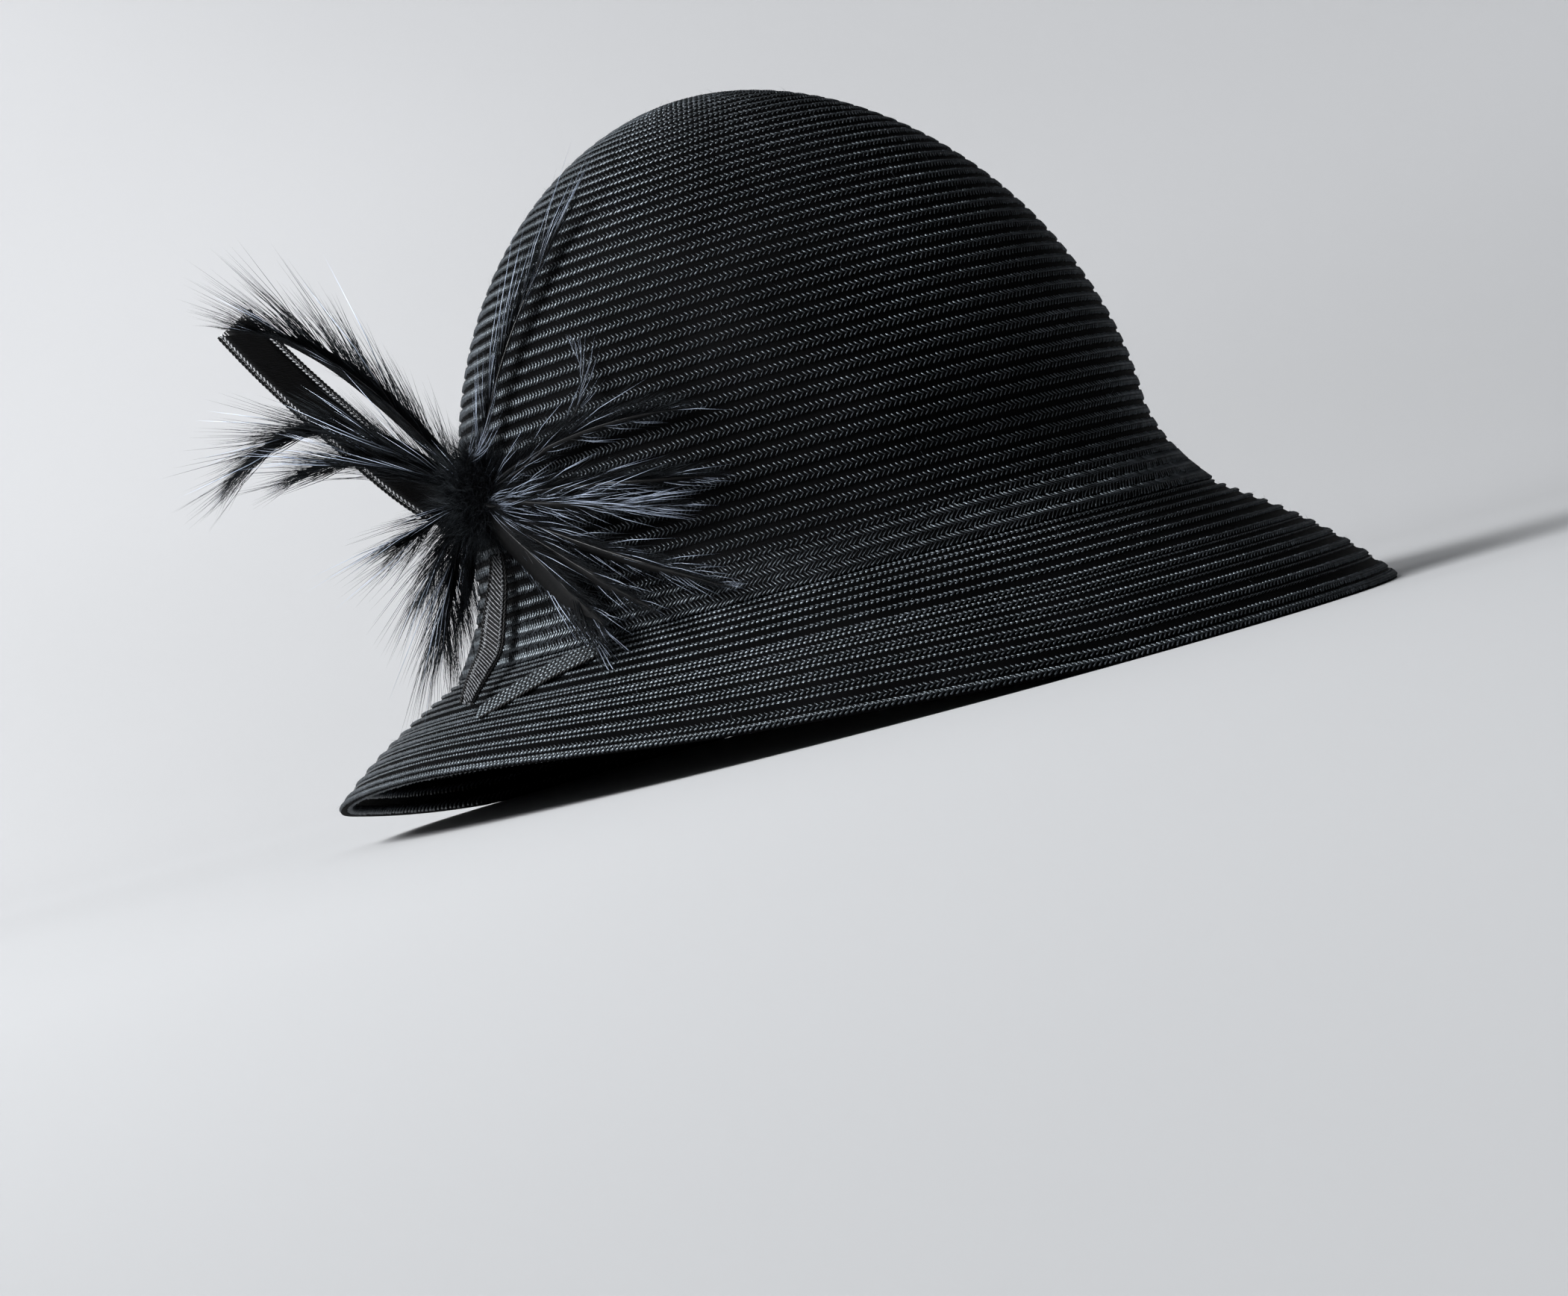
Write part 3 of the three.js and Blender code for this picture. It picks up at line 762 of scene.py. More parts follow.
def row_lines(rows, place):
    """Row centre lines round the hat with their facing and their width against a plain chevron."""
    around = np.arange(0.0, 360.0, 360.0 / ROW_POINTS)
    lines, facing, scale = [], [], []
    for row in rows:
        line, out, width = place(around, row)
        lines.append(line)
        facing.append(out)
        scale.append(np.broadcast_to(width, around.shape).copy())
    return lines, facing, scale


# Materials
def new_material(name, settings):
    """A principled material with its plain values set on the shader itself."""
    material = bpy.data.materials.new(name)
    material.use_nodes = True
    shader = material.node_tree.nodes["Principled BSDF"]
    for key, value in settings.items():
        shader.inputs[key].default_value = value
    return material, shader


def material_node(material, kind, settings=None, **links):
    """One node of a material; each keyword is an input socket's name."""
    tree = material.node_tree
    made = tree.nodes.new(kind)
    for key, value in (settings or {}).items():
        setattr(made, key, value)
    for key, value in links.items():
        socket = made.inputs[key.replace("_", " ")]
        if isinstance(value, bpy.types.NodeSocket):
            tree.links.new(value, socket)
        else:
            socket.default_value = value
    return made


def colour_between(material, factor, low, high, start=0.3, end=0.75):
    """A ramp from one colour to another."""
    ramp = material_node(material, "ShaderNodeValToRGB", Fac=factor)
    ramp.color_ramp.elements[0].position = start
    ramp.color_ramp.elements[0].color = low
    ramp.color_ramp.elements[1].position = end
    ramp.color_ramp.elements[1].color = high
    return ramp.outputs["Color"]


def number_between(material, factor, low, high):
    """A number that follows a pattern between two limits."""
    made = material_node(material, "ShaderNodeMapRange", Value=factor, To_Min=low, To_Max=high)
    return made.outputs["Result"]


def strand_material(colours):
    """Lacquered straw strands: fine fibres along each strand, no two strands quite alike."""
    material, shader = new_material("straw_strand", {"Specular Tint": (0.74, 0.89, 1.0, 1.0),
                                                     "Specular IOR Level": 0.75, "Coat Weight": 0.35,
                                                     "Coat Roughness": 0.32})
    links = material.node_tree.links
    place = material_node(material, "ShaderNodeTexCoord")
    island = material_node(material, "ShaderNodeNewGeometry").outputs["Random Per Island"]
    fibre_map = material_node(material, "ShaderNodeMapping", Vector=place.outputs["UV"],
                              Scale=(1.5, 9.0, 1.0))
    far = material_node(material, "ShaderNodeMath", {"operation": "MULTIPLY"})
    links.new(island, far.inputs[0])
    far.inputs[1].default_value = 40.0
    fibre = material_node(material, "ShaderNodeTexNoise", {"noise_dimensions": "4D"},
                          Vector=fibre_map.outputs[0], W=far.outputs[0], Scale=1.0, Detail=3.0)
    wear = material_node(material, "ShaderNodeTexNoise", Vector=place.outputs["Object"], Scale=38.0,
                         Detail=2.0)
    mix = material_node(material, "ShaderNodeMath", {"operation": "MULTIPLY"})
    links.new(island, mix.inputs[0])
    links.new(wear.outputs[0], mix.inputs[1])
    tone = colour_between(material, mix.outputs[0], colours.straw, colours.straw_pale, 0.18, 0.62)
    links.new(tone, shader.inputs["Base Color"])
    gloss = material_node(material, "ShaderNodeMath", {"operation": "MULTIPLY"})
    links.new(island, gloss.inputs[0])
    links.new(fibre.outputs[0], gloss.inputs[1])
    links.new(number_between(material, gloss.outputs[0], 0.48, 0.15), shader.inputs["Roughness"])
    bump = material_node(material, "ShaderNodeBump", Strength=0.35, Distance=0.0002, Height=fibre.outputs[0])
    links.new(bump.outputs[0], shader.inputs["Normal"])
    return material


def painted_shade_ground_material(colours):
    """The straw under the plait, which shows in the grooves and on the inside; its near-black colour is the
    straw's own black, darkened further than the strands' as painted shade in the grooves.
    """
    material, shader = new_material("straw_ground", {"Specular IOR Level": 0.01})
    links = material.node_tree.links
    place = material_node(material, "ShaderNodeTexCoord").outputs["Object"]
    grain = material_node(material, "ShaderNodeTexNoise", Vector=place, Scale=900.0, Detail=3.0)
    cloud = material_node(material, "ShaderNodeTexNoise", Vector=place, Scale=30.0, Detail=2.0)
    # The near-black tone is painted shade in the grooves; the clouds are random paler places.
    tone = colour_between(material, cloud.outputs[0], colours.ground, colours.ground_pale)
    links.new(tone, shader.inputs["Base Color"])
    links.new(number_between(material, grain.outputs[0], 0.55, 0.85), shader.inputs["Roughness"])
    bump = material_node(material, "ShaderNodeBump", Strength=0.5, Distance=0.0003, Height=grain.outputs[0])
    links.new(bump.outputs[0], shader.inputs["Normal"])
    return material


def barb_material(colours):
    """Feather barbs: black at the shaft, thinner and a little paler to their ends."""
    material, shader = new_material("feather_barb", {"Specular IOR Level": 0.16,
                                                     "Specular Tint": (0.74, 0.89, 1.0, 1.0)})
    links = material.node_tree.links
    place = material_node(material, "ShaderNodeTexCoord")
    along = material_node(material, "ShaderNodeSeparateXYZ", Vector=place.outputs["UV"]).outputs["X"]
    tone = colour_between(material, along, colours.barb, colours.barb_pale, 0.25, 1.0)
    links.new(tone, shader.inputs["Base Color"])
    cloud = material_node(material, "ShaderNodeTexNoise", Vector=place.outputs["Object"], Scale=160.0,
                          Detail=2.0)
    links.new(number_between(material, cloud.outputs[0], 0.3, 0.5), shader.inputs["Roughness"])
    return material


def web_material(colours):
    """The closed web along a shaft, matt black."""
    material, shader = new_material("feather_web", {"Specular IOR Level": 0.12})
    links = material.node_tree.links
    place = material_node(material, "ShaderNodeTexCoord").outputs["Object"]
    cloud = material_node(material, "ShaderNodeTexNoise", Vector=place, Scale=400.0, Detail=2.0)
    tone = colour_between(material, cloud.outputs[0], colours.ground, colours.barb)
    links.new(tone, shader.inputs["Base Color"])
    links.new(number_between(material, cloud.outputs[0], 0.6, 0.8), shader.inputs["Roughness"])
    return material


def painted_glint_material(colours):
    """Single smooth barbs whose pale bluish colour is a painted highlight, black at the root and bright
    towards the tip.
    """
    material, shader = new_material("feather_glint", {"Specular IOR Level": 0.8})
    links = material.node_tree.links
    place = material_node(material, "ShaderNodeTexCoord")
    along = material_node(material, "ShaderNodeSeparateXYZ", Vector=place.outputs["UV"]).outputs["X"]
    tone = colour_between(material, along, colours.barb, colours.painted_glint, 0.2, 0.7)
    links.new(tone, shader.inputs["Base Color"])
    cloud = material_node(material, "ShaderNodeTexNoise", Vector=place.outputs["Object"], Scale=160.0,
                          Detail=2.0)
    links.new(number_between(material, cloud.outputs[0], 0.2, 0.4), shader.inputs["Roughness"])
    return material


def shaft_material(colours):
    """Feather shafts: horn that is smooth, dark and a little glossy."""
    material, shader = new_material("feather_shaft", {"Specular IOR Level": 0.55})
    links = material.node_tree.links
    place = material_node(material, "ShaderNodeTexCoord").outputs["Object"]
    cloud = material_node(material, "ShaderNodeTexNoise", Vector=place, Scale=220.0, Detail=2.0)
    tone = colour_between(material, cloud.outputs[0], colours.barb, colours.shaft)
    links.new(tone, shader.inputs["Base Color"])
    links.new(number_between(material, cloud.outputs[0], 0.25, 0.42), shader.inputs["Roughness"])
    return material


def thread_material(name, low, high, rough, shine=0.6):
    """Spun thread with fine hairs."""
    material, shader = new_material(name, {"Specular IOR Level": shine})
    links = material.node_tree.links
    place = material_node(material, "ShaderNodeTexCoord").outputs["Object"]
    fine = material_node(material, "ShaderNodeTexNoise", Vector=place, Scale=1400.0, Detail=2.0)
    links.new(colour_between(material, fine.outputs[0], low, high), shader.inputs["Base Color"])
    links.new(number_between(material, fine.outputs[0], rough, rough + 0.2), shader.inputs["Roughness"])
    bump = material_node(material, "ShaderNodeBump", Strength=0.25, Distance=0.0001, Height=fine.outputs[0])
    links.new(bump.outputs[0], shader.inputs["Normal"])
    return material


def floor_material(colours):
    """A matt pale floor, a little cloudy."""
    material, shader = new_material("pale_floor", {"Specular IOR Level": 0.2, "Roughness": 0.9})
    links = material.node_tree.links
    place = material_node(material, "ShaderNodeTexCoord").outputs["Object"]
    cloud = material_node(material, "ShaderNodeTexNoise", Vector=place, Scale=1.5, Detail=1.0)
    tone = colour_between(material, cloud.outputs[0], colours.floor_dark, colours.floor)
    links.new(tone, shader.inputs["Base Color"])
    return material


def shared(name, make):
    """A material made once and used by several pieces."""
    found = bpy.data.materials.get(name)
    return found if found else make()


# Crown
# Where the strands lie in a row, from its upper edge, how far out, and how far their two ends bend down
PLAIN_LINE = 0.66
OPEN_LINE = 0.52
CROWN_LIFT = 0.58 * MM
PLAIN_DROPS = (0.18 * MM, 0.10 * MM)
OPEN_DROPS = (0.14 * MM, 0.10 * MM)
# The share of the rows that the upper of the two plaited pieces covers
UPPER_SHARE = 0.62
# Inside, each row is a rib: the places along its width and how far in they stand
INNER_ROW = (
    {"at": 0.0, "in": 0.0},
    {"at": 0.5, "in": 0.28},
)
TIP_RISE = 0.6 * MM
FOOT_RISE = 0.1 * MM
# The rings stop this far short of the tip, outside and inside
TIP_CLEAR = 0.0005
INNER_TIP_CLEAR = 0.0015


def crown_rows(surface, plait):
    """How many braid rows the crown has and how wide each one is."""
    rows = round(surface.crown_length / plait.crown_pitch)
    return rows, surface.crown_length / rows


def crown_wall(surface, plait):
    """The crown's straw wall, ribbed outside and inside."""
    around = np.arange(plait.segments) * 360.0 / plait.segments
    rows, pitch = crown_rows(surface, plait)
    wall = surface.form.wall
    rings = []
    for row in range(rows):
        for cut in OPEN_ROW if row >= rows - plait.open_rows else CROWN_ROW:
            along = surface.crown_length - (row + cut["at"]) * pitch
            if along < surface.crown_length - TIP_CLEAR:
                rings.append(surface.crown(around, along, cut["out"] * MM))
    rings.append(surface.crown(around, FOOT_RISE, FOOT_RISE))
    for row in range(rows):
        for cut in INNER_ROW:
            along = (row + cut["at"]) * pitch
            if along < surface.crown_length - INNER_TIP_CLEAR:
                rings.append(surface.crown(around, along, -wall - cut["in"] * MM))
    apex = surface.point(0.0, surface.crown_length)
    top = apex + np.array([0.0, 0.0, TIP_RISE])
    under = apex - np.array([0.0, 0.0, wall])
    return closed_rings(rings, top, under)


class STRAW_HAT_OT_crown(bpy.types.Operator):
    """Makes the crown's wall and the plaited rows that cover it"""

    bl_idname = "straw_hat.crown"
    bl_label = "Crown"

    def execute(self, context):
        surface = hat_surface(context)
        plait = context.scene.straw_hat_plait
        colours = context.scene.straw_hat_colours
        ground = shared("straw_ground", lambda: painted_shade_ground_material(colours))
        strand = shared("straw_strand", lambda: strand_material(colours))
        # The wall takes the ground colour, which carries painted shade in the grooves.
        wall = new_piece("crown_wall", *crown_wall(surface, plait), material=ground)
        place_piece(wall, "crown")

        rows, pitch = crown_rows(surface, plait)

        def place(around, row):
            lies_open = row >= rows - plait.open_rows
            along = surface.crown_length - (row + (OPEN_LINE if lies_open else PLAIN_LINE)) * pitch
            out = surface.normal(around, along, 0.0, surface.crown_length)
            return surface.point(around, along) + out * CROWN_LIFT, out, 1.0

        tree = plait_tree()
        plain = chevron_shape(plait, plait.chevron_half, plait.strand_width, *PLAIN_DROPS)
        wide = chevron_shape(plait, plait.open_half, plait.open_width, *OPEN_DROPS)
        split = round(rows * UPPER_SHARE)
        lowest = rows - plait.open_rows
        for name, some, pattern, gap in (
                ("crown_plait_upper", range(0, split), plain, plait.spacing),
                ("crown_plait_lower", range(split, lowest), plain, plait.spacing),
                ("crown_plait_open", range(lowest, rows), wide, plait.open_spacing)):
            lines, facing, scale = row_lines(some, place)
            piece = line_object(name, lines, True, facing=facing, row_scale=scale)
            grown(piece, tree, chevron=pattern, spacing=gap, sway=plait.sway, seed=11, straw=strand)
            place_piece(piece, "crown")
        forget(plain)
        forget(wide)
        lines, facing, _ = row_lines(range(1, rows), place)
        stray_fibres("crown_fibres", "crown", lines, facing, plait, strand, 61)
        return {"FINISHED"}


# Brim
BRIM_DROPS = (0.20 * MM, 0.16 * MM)
# The share of the lap that the brim is tucked in by at its collar
COLLAR_SHARE = 0.45
# The rope along the edge and where the ribs of the underside stop, as parts of the brim's length
EDGE_ROPE = 0.978
INNER_END = 0.96
# Plaited lines on the brim: where each lies in its row, how far out in millimetres and on which side,
# how wide against the row and how far apart against the crown's strands
BRIM_PLAITS = (
    {"name": "brim_plait_rope", "at": 0.26, "lift": 0.68, "side": 1.0, "wide": 0.16, "gap": 1.0,
     "seed": 23},
    {"name": "brim_plait_beads", "at": 0.60, "lift": 0.32, "side": 1.0, "wide": 0.052, "gap": 1.0,
     "seed": 27},
    {"name": "brim_plait_under", "at": 0.45, "lift": 0.48, "side": -1.0, "wide": 0.24, "gap": 1.5,
     "seed": 31},
)


def brim_set(surface, part):
    """How far the brim lies inside the crown's line: tucked in at its collar, level at its edge."""
    return -(surface.form.wall + surface.form.lap_gap) * COLLAR_SHARE * (1.0 - part) ** 2


def brim_row_edges(plait):
    """Where the brim's rows begin and end, as parts of its length."""
    return (np.arange(plait.brim_rows + 1) / plait.brim_rows) ** plait.brim_spread


def brim_edge(surface, around, inward):
    """The brim's edge ring, moved in along the level."""
    form = surface.form
    out = np.stack([np.sin(np.radians(around)) / form.head_half_width,
                    -np.cos(np.radians(around)) / form.head_half_length, 0.0 * around], -1)
    return surface.point(around, -form.brim_length) - unit(out) * inward


def brim_wall(surface, plait):
    """The brim's straw wall with its collar, ribbed above and below, cut level along its edge."""
    form = surface.form
    around = np.arange(plait.segments) * 360.0 / plait.segments
    edges = brim_row_edges(plait)
    lap = form.wall + form.lap_gap
    rings = [surface.brim_skin(around, form.lap_length, -lap), surface.brim_skin(around, 0.0, -lap)]
    for row in range(plait.brim_rows):
        for cut in BRIM_ROW:
            part = edges[row] + (edges[row + 1] - edges[row]) * cut["at"]
            if part > 0.0:
                rings.append(surface.brim_skin(around, -form.brim_length * part,
                                               brim_set(surface, part) + cut["out"] * MM))
    rings.append(brim_edge(surface, around, 0.0))
    rings.append(brim_edge(surface, around, form.edge_cut * 0.5))
    for row in range(plait.brim_rows - 1, -1, -1):
        for cut in reversed(INNER_ROW):
            part = edges[row] + (edges[row + 1] - edges[row]) * cut["at"]
            if part < INNER_END:
                rings.append(surface.brim_skin(around, -form.brim_length * part,
                                               brim_set(surface, part) - form.wall - cut["in"] * MM))
    rings.append(surface.brim_skin(around, form.lap_length, -lap - form.wall))
    return closed_rings(rings)


class STRAW_HAT_OT_brim(bpy.types.Operator):
    """Makes the brim's wall and the plaited rows on its top and its underside"""

    bl_idname = "straw_hat.brim"
    bl_label = "Brim"

    def execute(self, context):
        surface = hat_surface(context)
        form = context.scene.straw_hat_form
        plait = context.scene.straw_hat_plait
        colours = context.scene.straw_hat_colours
        ground = shared("straw_ground", lambda: painted_shade_ground_material(colours))
        strand = shared("straw_strand", lambda: strand_material(colours))
        # The wall takes the ground colour, which carries painted shade in the grooves.
        wall = new_piece("brim_wall", *brim_wall(surface, plait), material=ground)
        place_piece(wall, "brim")

        edges = brim_row_edges(plait)
        rows = list(zip(edges[:-1], edges[1:]))
        tree = plait_tree()
        pattern = chevron_shape(plait, plait.chevron_half, plait.strand_width, *BRIM_DROPS)
        for sort in BRIM_PLAITS:
            name = sort["name"]
            side = sort["side"]
            some = rows[plait.tight_rows:] if name == "brim_plait_beads" else rows
            places = [(start + (end - start) * sort["at"], start, end) for start, end in some]
            if name == "brim_plait_rope":
                places.append((EDGE_ROPE, edges[-2], 1.0))

            def place(around, row):
                part, start, end = row
                out = surface.normal(around, -form.brim_length * part, -form.brim_length, form.lap_length)
                inside = form.wall if side < 0 else 0.0
                line = (surface.point(around, -form.brim_length * part)
                        + out * (brim_set(surface, part) - inside + side * sort["lift"] * MM))
                row_width = np.linalg.norm(surface.point(around, -form.brim_length * end)
                                           - surface.point(around, -form.brim_length * start), axis=-1)
                return line, side * out, sort["wide"] * row_width / plait.chevron_half

            lines, facing, scale = row_lines(places, place)
            piece = line_object(name, lines, True, facing=facing, row_scale=scale)
            grown(piece, tree, chevron=pattern, spacing=plait.spacing * sort["gap"], sway=plait.sway,
                  seed=sort["seed"], straw=strand)
            place_piece(piece, "brim")
            if name == "brim_plait_rope":
                stray_fibres("brim_fibres", "brim", lines, facing, plait, strand, 67)
        forget(pattern)
        return {"FINISHED"}


# Feathers
FEATHER_POINTS = 44
SHAFT_TAPER = 0.85
# A barb: how far it runs along the shaft for its reach, how high it arches, how it thins,
# and how thick each sort is for its reach
BARB_SWEEP = 2.40
BARB_ARCH = 0.14
BARB_TAPER = 0.62
BARB_THICK = 0.016
HAIR_THICK = 0.010
# The closed web: how far it narrows, its thickness against the shaft and its point against its width
WEB_TAPER = 0.85
WEB_THICK = 0.35
WEB_POINT = 0.3
# How far barbs turn and lift out of true, in radians: by their place on the shaft, in clumps and singly
LEAN_AT_TIP = -0.16
CLUMP_TURN = (-0.14, 0.14)
SINGLE_TURN = (-0.10, 0.12)
CLUMP_LIFT = 0.22
SINGLE_LIFT = (-0.12, 0.12)
# The knot and its down
KNOT_SIDES = 18
KNOT_RINGS = 11
KNOT_END = 80.0
DOWN_DENSITY = 7.0e6
DOWN_RISE = (-1.05, -0.25)
DOWN_SIZES = (0.45, 1.1)


def feather_path(surface, trim, feather):
    """A feather's shaft from the knot to its tip, with the way its vane faces."""
    root = np.array([trim.knot_around, trim.knot_along, trim.knot_off])
    scale = np.array([1.0, MM, MM])
    mid = np.array(feather["mid"]) * scale
    tip = np.array(feather["tip"]) * scale
    bend = 2.0 * mid - (root + tip) / 2.0
    part = np.linspace(0.0, 1.0, FEATHER_POINTS)
    t = (part * trim.shaft_share)[:, None]
    places = root * (1 - t) ** 2 + bend * 2 * t * (1 - t) + tip * t ** 2
    return surface.over(places), surface.facing(places, feather["face"]), part


def barb_shape(name, thick):
    """One barb of a feather, swept well forward, half as far out as it is long, to a fine end."""
    steps = np.array([0.0, 0.5, 1.0])
    line = np.stack([BARB_SWEEP * steps ** 1.1, steps ** 0.8, BARB_ARCH * np.sin(steps * 2.2)], -1)
    ahead = unit(np.gradient(line, axis=0))
    across = unit(np.cross(ahead, np.array([0.0, 0.0, 1.0])))
    up = np.cross(across, ahead)
    rings = []
    for k in range(2):
        wide = thick * (1.0 - BARB_TAPER * steps[k])
        rings.append([line[k] + across[k] * wide, line[k] - across[k] * wide, line[k] + up[k] * wide * 0.9])
    points = np.vstack([np.array(rings).reshape(-1, 3), line[2]])
    faces = [[0, 2, 1]]
    faces.extend([[i, (i + 1) % 3, 3 + (i + 1) % 3, 3 + i] for i in range(3)])
    faces.extend([[3 + i, 3 + (i + 1) % 3, 6] for i in range(3)])
    if volume_of(points - points.mean(0), faces) < 0:
        faces = [face[::-1] for face in faces]
    along = np.append(np.repeat(steps[:2], 3), 1.0)
    piece = new_piece(name, points, faces)
    set_uv(piece, [(along[k], 0.5) for face in faces for k in face])
    return piece


def vane_web(line, facing, half, trim):
    """The closed web beside a shaft: a thin blade that ends in a point."""
    ahead = unit(np.gradient(line, axis=0))
    across = unit(np.cross(facing, ahead))
    out = np.cross(ahead, across)
    part = np.linspace(0.0, 1.0, len(line))
    reach = across * (half * (1.0 - WEB_TAPER * part ** 3))[:, None]
    thick = out * trim.shaft_radius * WEB_THICK
    rings = np.stack([line + reach, line + thick, line - reach, line - thick], 1)
    return closed_rings(rings, line[0], line[-1] + ahead[-1] * half[-1] * WEB_POINT)


# The sorts of barb on a feather: which shape and finish each takes, how far apart they stand,
# the shortest and longest against the vane, how far they are drawn out along the shaft,
# how many stay together and how far they lie over the vane
BARB_SORTS = (
    {"gap": "Spacing", "shape": "Barb", "finish": "Barb Finish", "short": 0.35, "long": 0.85,
     "stretch": 1.25, "together": 9.0, "over": 0.0},
    {"gap": "Hair Spacing", "shape": "Hair", "finish": "Barb Finish", "short": 0.45, "long": 1.10,
     "stretch": 1.45, "together": 6.0, "over": 0.0},
    # The last sort carries a painted highlight in its pale bluish finish.
    {"gap": "Glint Spacing", "shape": "Barb", "finish": "Glint Finish", "short": 0.45, "long": 1.10,
     "stretch": 1.9, "together": 2.0, "over": 0.16},
)


def feather_tree():
    """Barbs on both sides of each shaft, in small clumps, and the shaft itself."""
    tree = Tree("Hackle Feathers", (("Barb", "Object"), ("Hair", "Object"), ("Spacing", "Float"),
                                    ("Hair Spacing", "Float"), ("Glint Spacing", "Float"), ("Seed", "Int"),
                                    ("Barb Finish", "Material"), ("Shaft Finish", "Material"),
                                    ("Glint Finish", "Material")))
    given = tree.input
    curve = tree.node("GeometryNodeMeshToCurve", Mesh=given["Geometry"]).outputs[0]
    circle = tree.node("GeometryNodeCurvePrimitiveCircle", {"mode": "RADIUS"}, Resolution=5, Radius=1.0)
    shaft = tree.node("GeometryNodeCurveToMesh", Curve=curve, Profile_Curve=circle.outputs[0],
                      Scale=tree.attribute("shaft"), Fill_Caps=True).outputs[0]
    branches = [tree.finish(shaft, given["Shaft Finish"])]
    index = tree.node("GeometryNodeInputIndex").outputs[0]
    facing = tree.attribute("facing", "FLOAT_VECTOR")
    part = tree.attribute("part")
    first = 0.0
    for sort in BARB_SORTS:
        points = tree.node("GeometryNodeCurveToPoints", {"mode": "LENGTH"}, Curve=curve,
                           Length=given[sort["gap"]])
        clump = tree.maths("FLOOR", tree.maths("DIVIDE", index, sort["together"]), 0.0)
        for side, reach in ((1.0, "reach_left"), (-1.0, "reach_right")):
            first += 50.0
            seeds = [tree.maths("ADD", given["Seed"], first + k) for k in range(6)]
            face = tree.node("ShaderNodeVectorMath", {"operation": "SCALE"}, Vector=facing, Scale=side)
            flat = tree.axes(face.outputs[0], points.outputs["Tangent"])
            lean = tree.maths("MULTIPLY", part, LEAN_AT_TIP)
            clumped = tree.chance(*CLUMP_TURN, seeds[0], clump)
            single = tree.chance(*SINGLE_TURN, seeds[1])
            sweep = tree.maths("ADD", tree.maths("ADD", lean, clumped), single)
            over = sort["over"] * side
            lift = tree.maths("ADD", tree.chance(over - CLUMP_LIFT, over + CLUMP_LIFT, seeds[2], clump),
                              tree.chance(*SINGLE_LIFT, seeds[3]))
            rotation = tree.turned(flat, lift, 0.0, sweep)
            grow = tree.maths("MULTIPLY", tree.attribute(reach),
                              tree.chance(sort["short"], sort["long"], seeds[4]))
            scale = tree.vector(tree.maths("MULTIPLY", grow, sort["stretch"]), grow, grow)
            # Only each feather's share of painted-highlight barbs is kept.
            kept = tree.attribute("shine") if sort["finish"] == "Glint Finish" else 1.0
            chosen = tree.maths("LESS_THAN", tree.chance(0.0, 1.0, seeds[5], clump), kept)
            barbs = tree.copies(points.outputs["Points"], tree.shape(given[sort["shape"]]), rotation, scale,
                                chosen)
            branches.append(tree.finish(barbs, given[sort["finish"]]))
    tree.end(*branches)
    return tree


def down_tree():
    """Short curved down standing all over the bound knot."""
    tree = Tree("Knot Down", (("Barb", "Object"), ("Density", "Float"), ("Reach", "Float"), ("Seed", "Int"),
                              ("Barb Finish", "Material"), ("Core Finish", "Material")))
    given = tree.input
    points = tree.node("GeometryNodeDistributePointsOnFaces", Mesh=given["Geometry"],
                       Density=given["Density"], Seed=given["Seed"])
    seeds = [tree.maths("ADD", given["Seed"], float(k)) for k in (1, 2, 3)]
    turn = tree.chance(*FULL_TURN, seeds[0])
    rise = tree.chance(*DOWN_RISE, seeds[1])
    spun = tree.turned(points.outputs["Rotation"], 0.0, 0.0, turn)
    rotation = tree.turned(spun, 0.0, rise, 0.0)
    grow = tree.maths("MULTIPLY", given["Reach"], tree.chance(*DOWN_SIZES, seeds[2]))
    barbs = tree.copies(points.outputs["Points"], tree.shape(given["Barb"]), rotation,
                        tree.vector(grow, grow, grow))
    tree.end(tree.finish(barbs, given["Barb Finish"]), tree.finish(given["Geometry"], given["Core Finish"]))
    return tree


def knot_mesh(surface, trim):
    """The bound knot that every feather is rooted in."""
    place = np.array([[trim.knot_around, trim.knot_along, trim.knot_off]])
    centre = surface.over(place)[0]
    out = surface.facing(place, "out")[0]
    side = surface.facing(place, "side")[0]
    up = np.cross(out, side)
    angle = np.arange(KNOT_SIDES) * 2.0 * math.pi / KNOT_SIDES
    rings = []
    for turn in np.linspace(-KNOT_END, KNOT_END, KNOT_RINGS):
        width = math.cos(math.radians(turn))
        rings.append(centre + up * math.sin(math.radians(turn)) * trim.knot_half_along
                     + width * (np.cos(angle)[:, None] * side * trim.knot_half_around
                                + np.sin(angle)[:, None] * out * trim.knot_half_off))
    return closed_rings(rings, centre - up * trim.knot_half_along, centre + up * trim.knot_half_along)


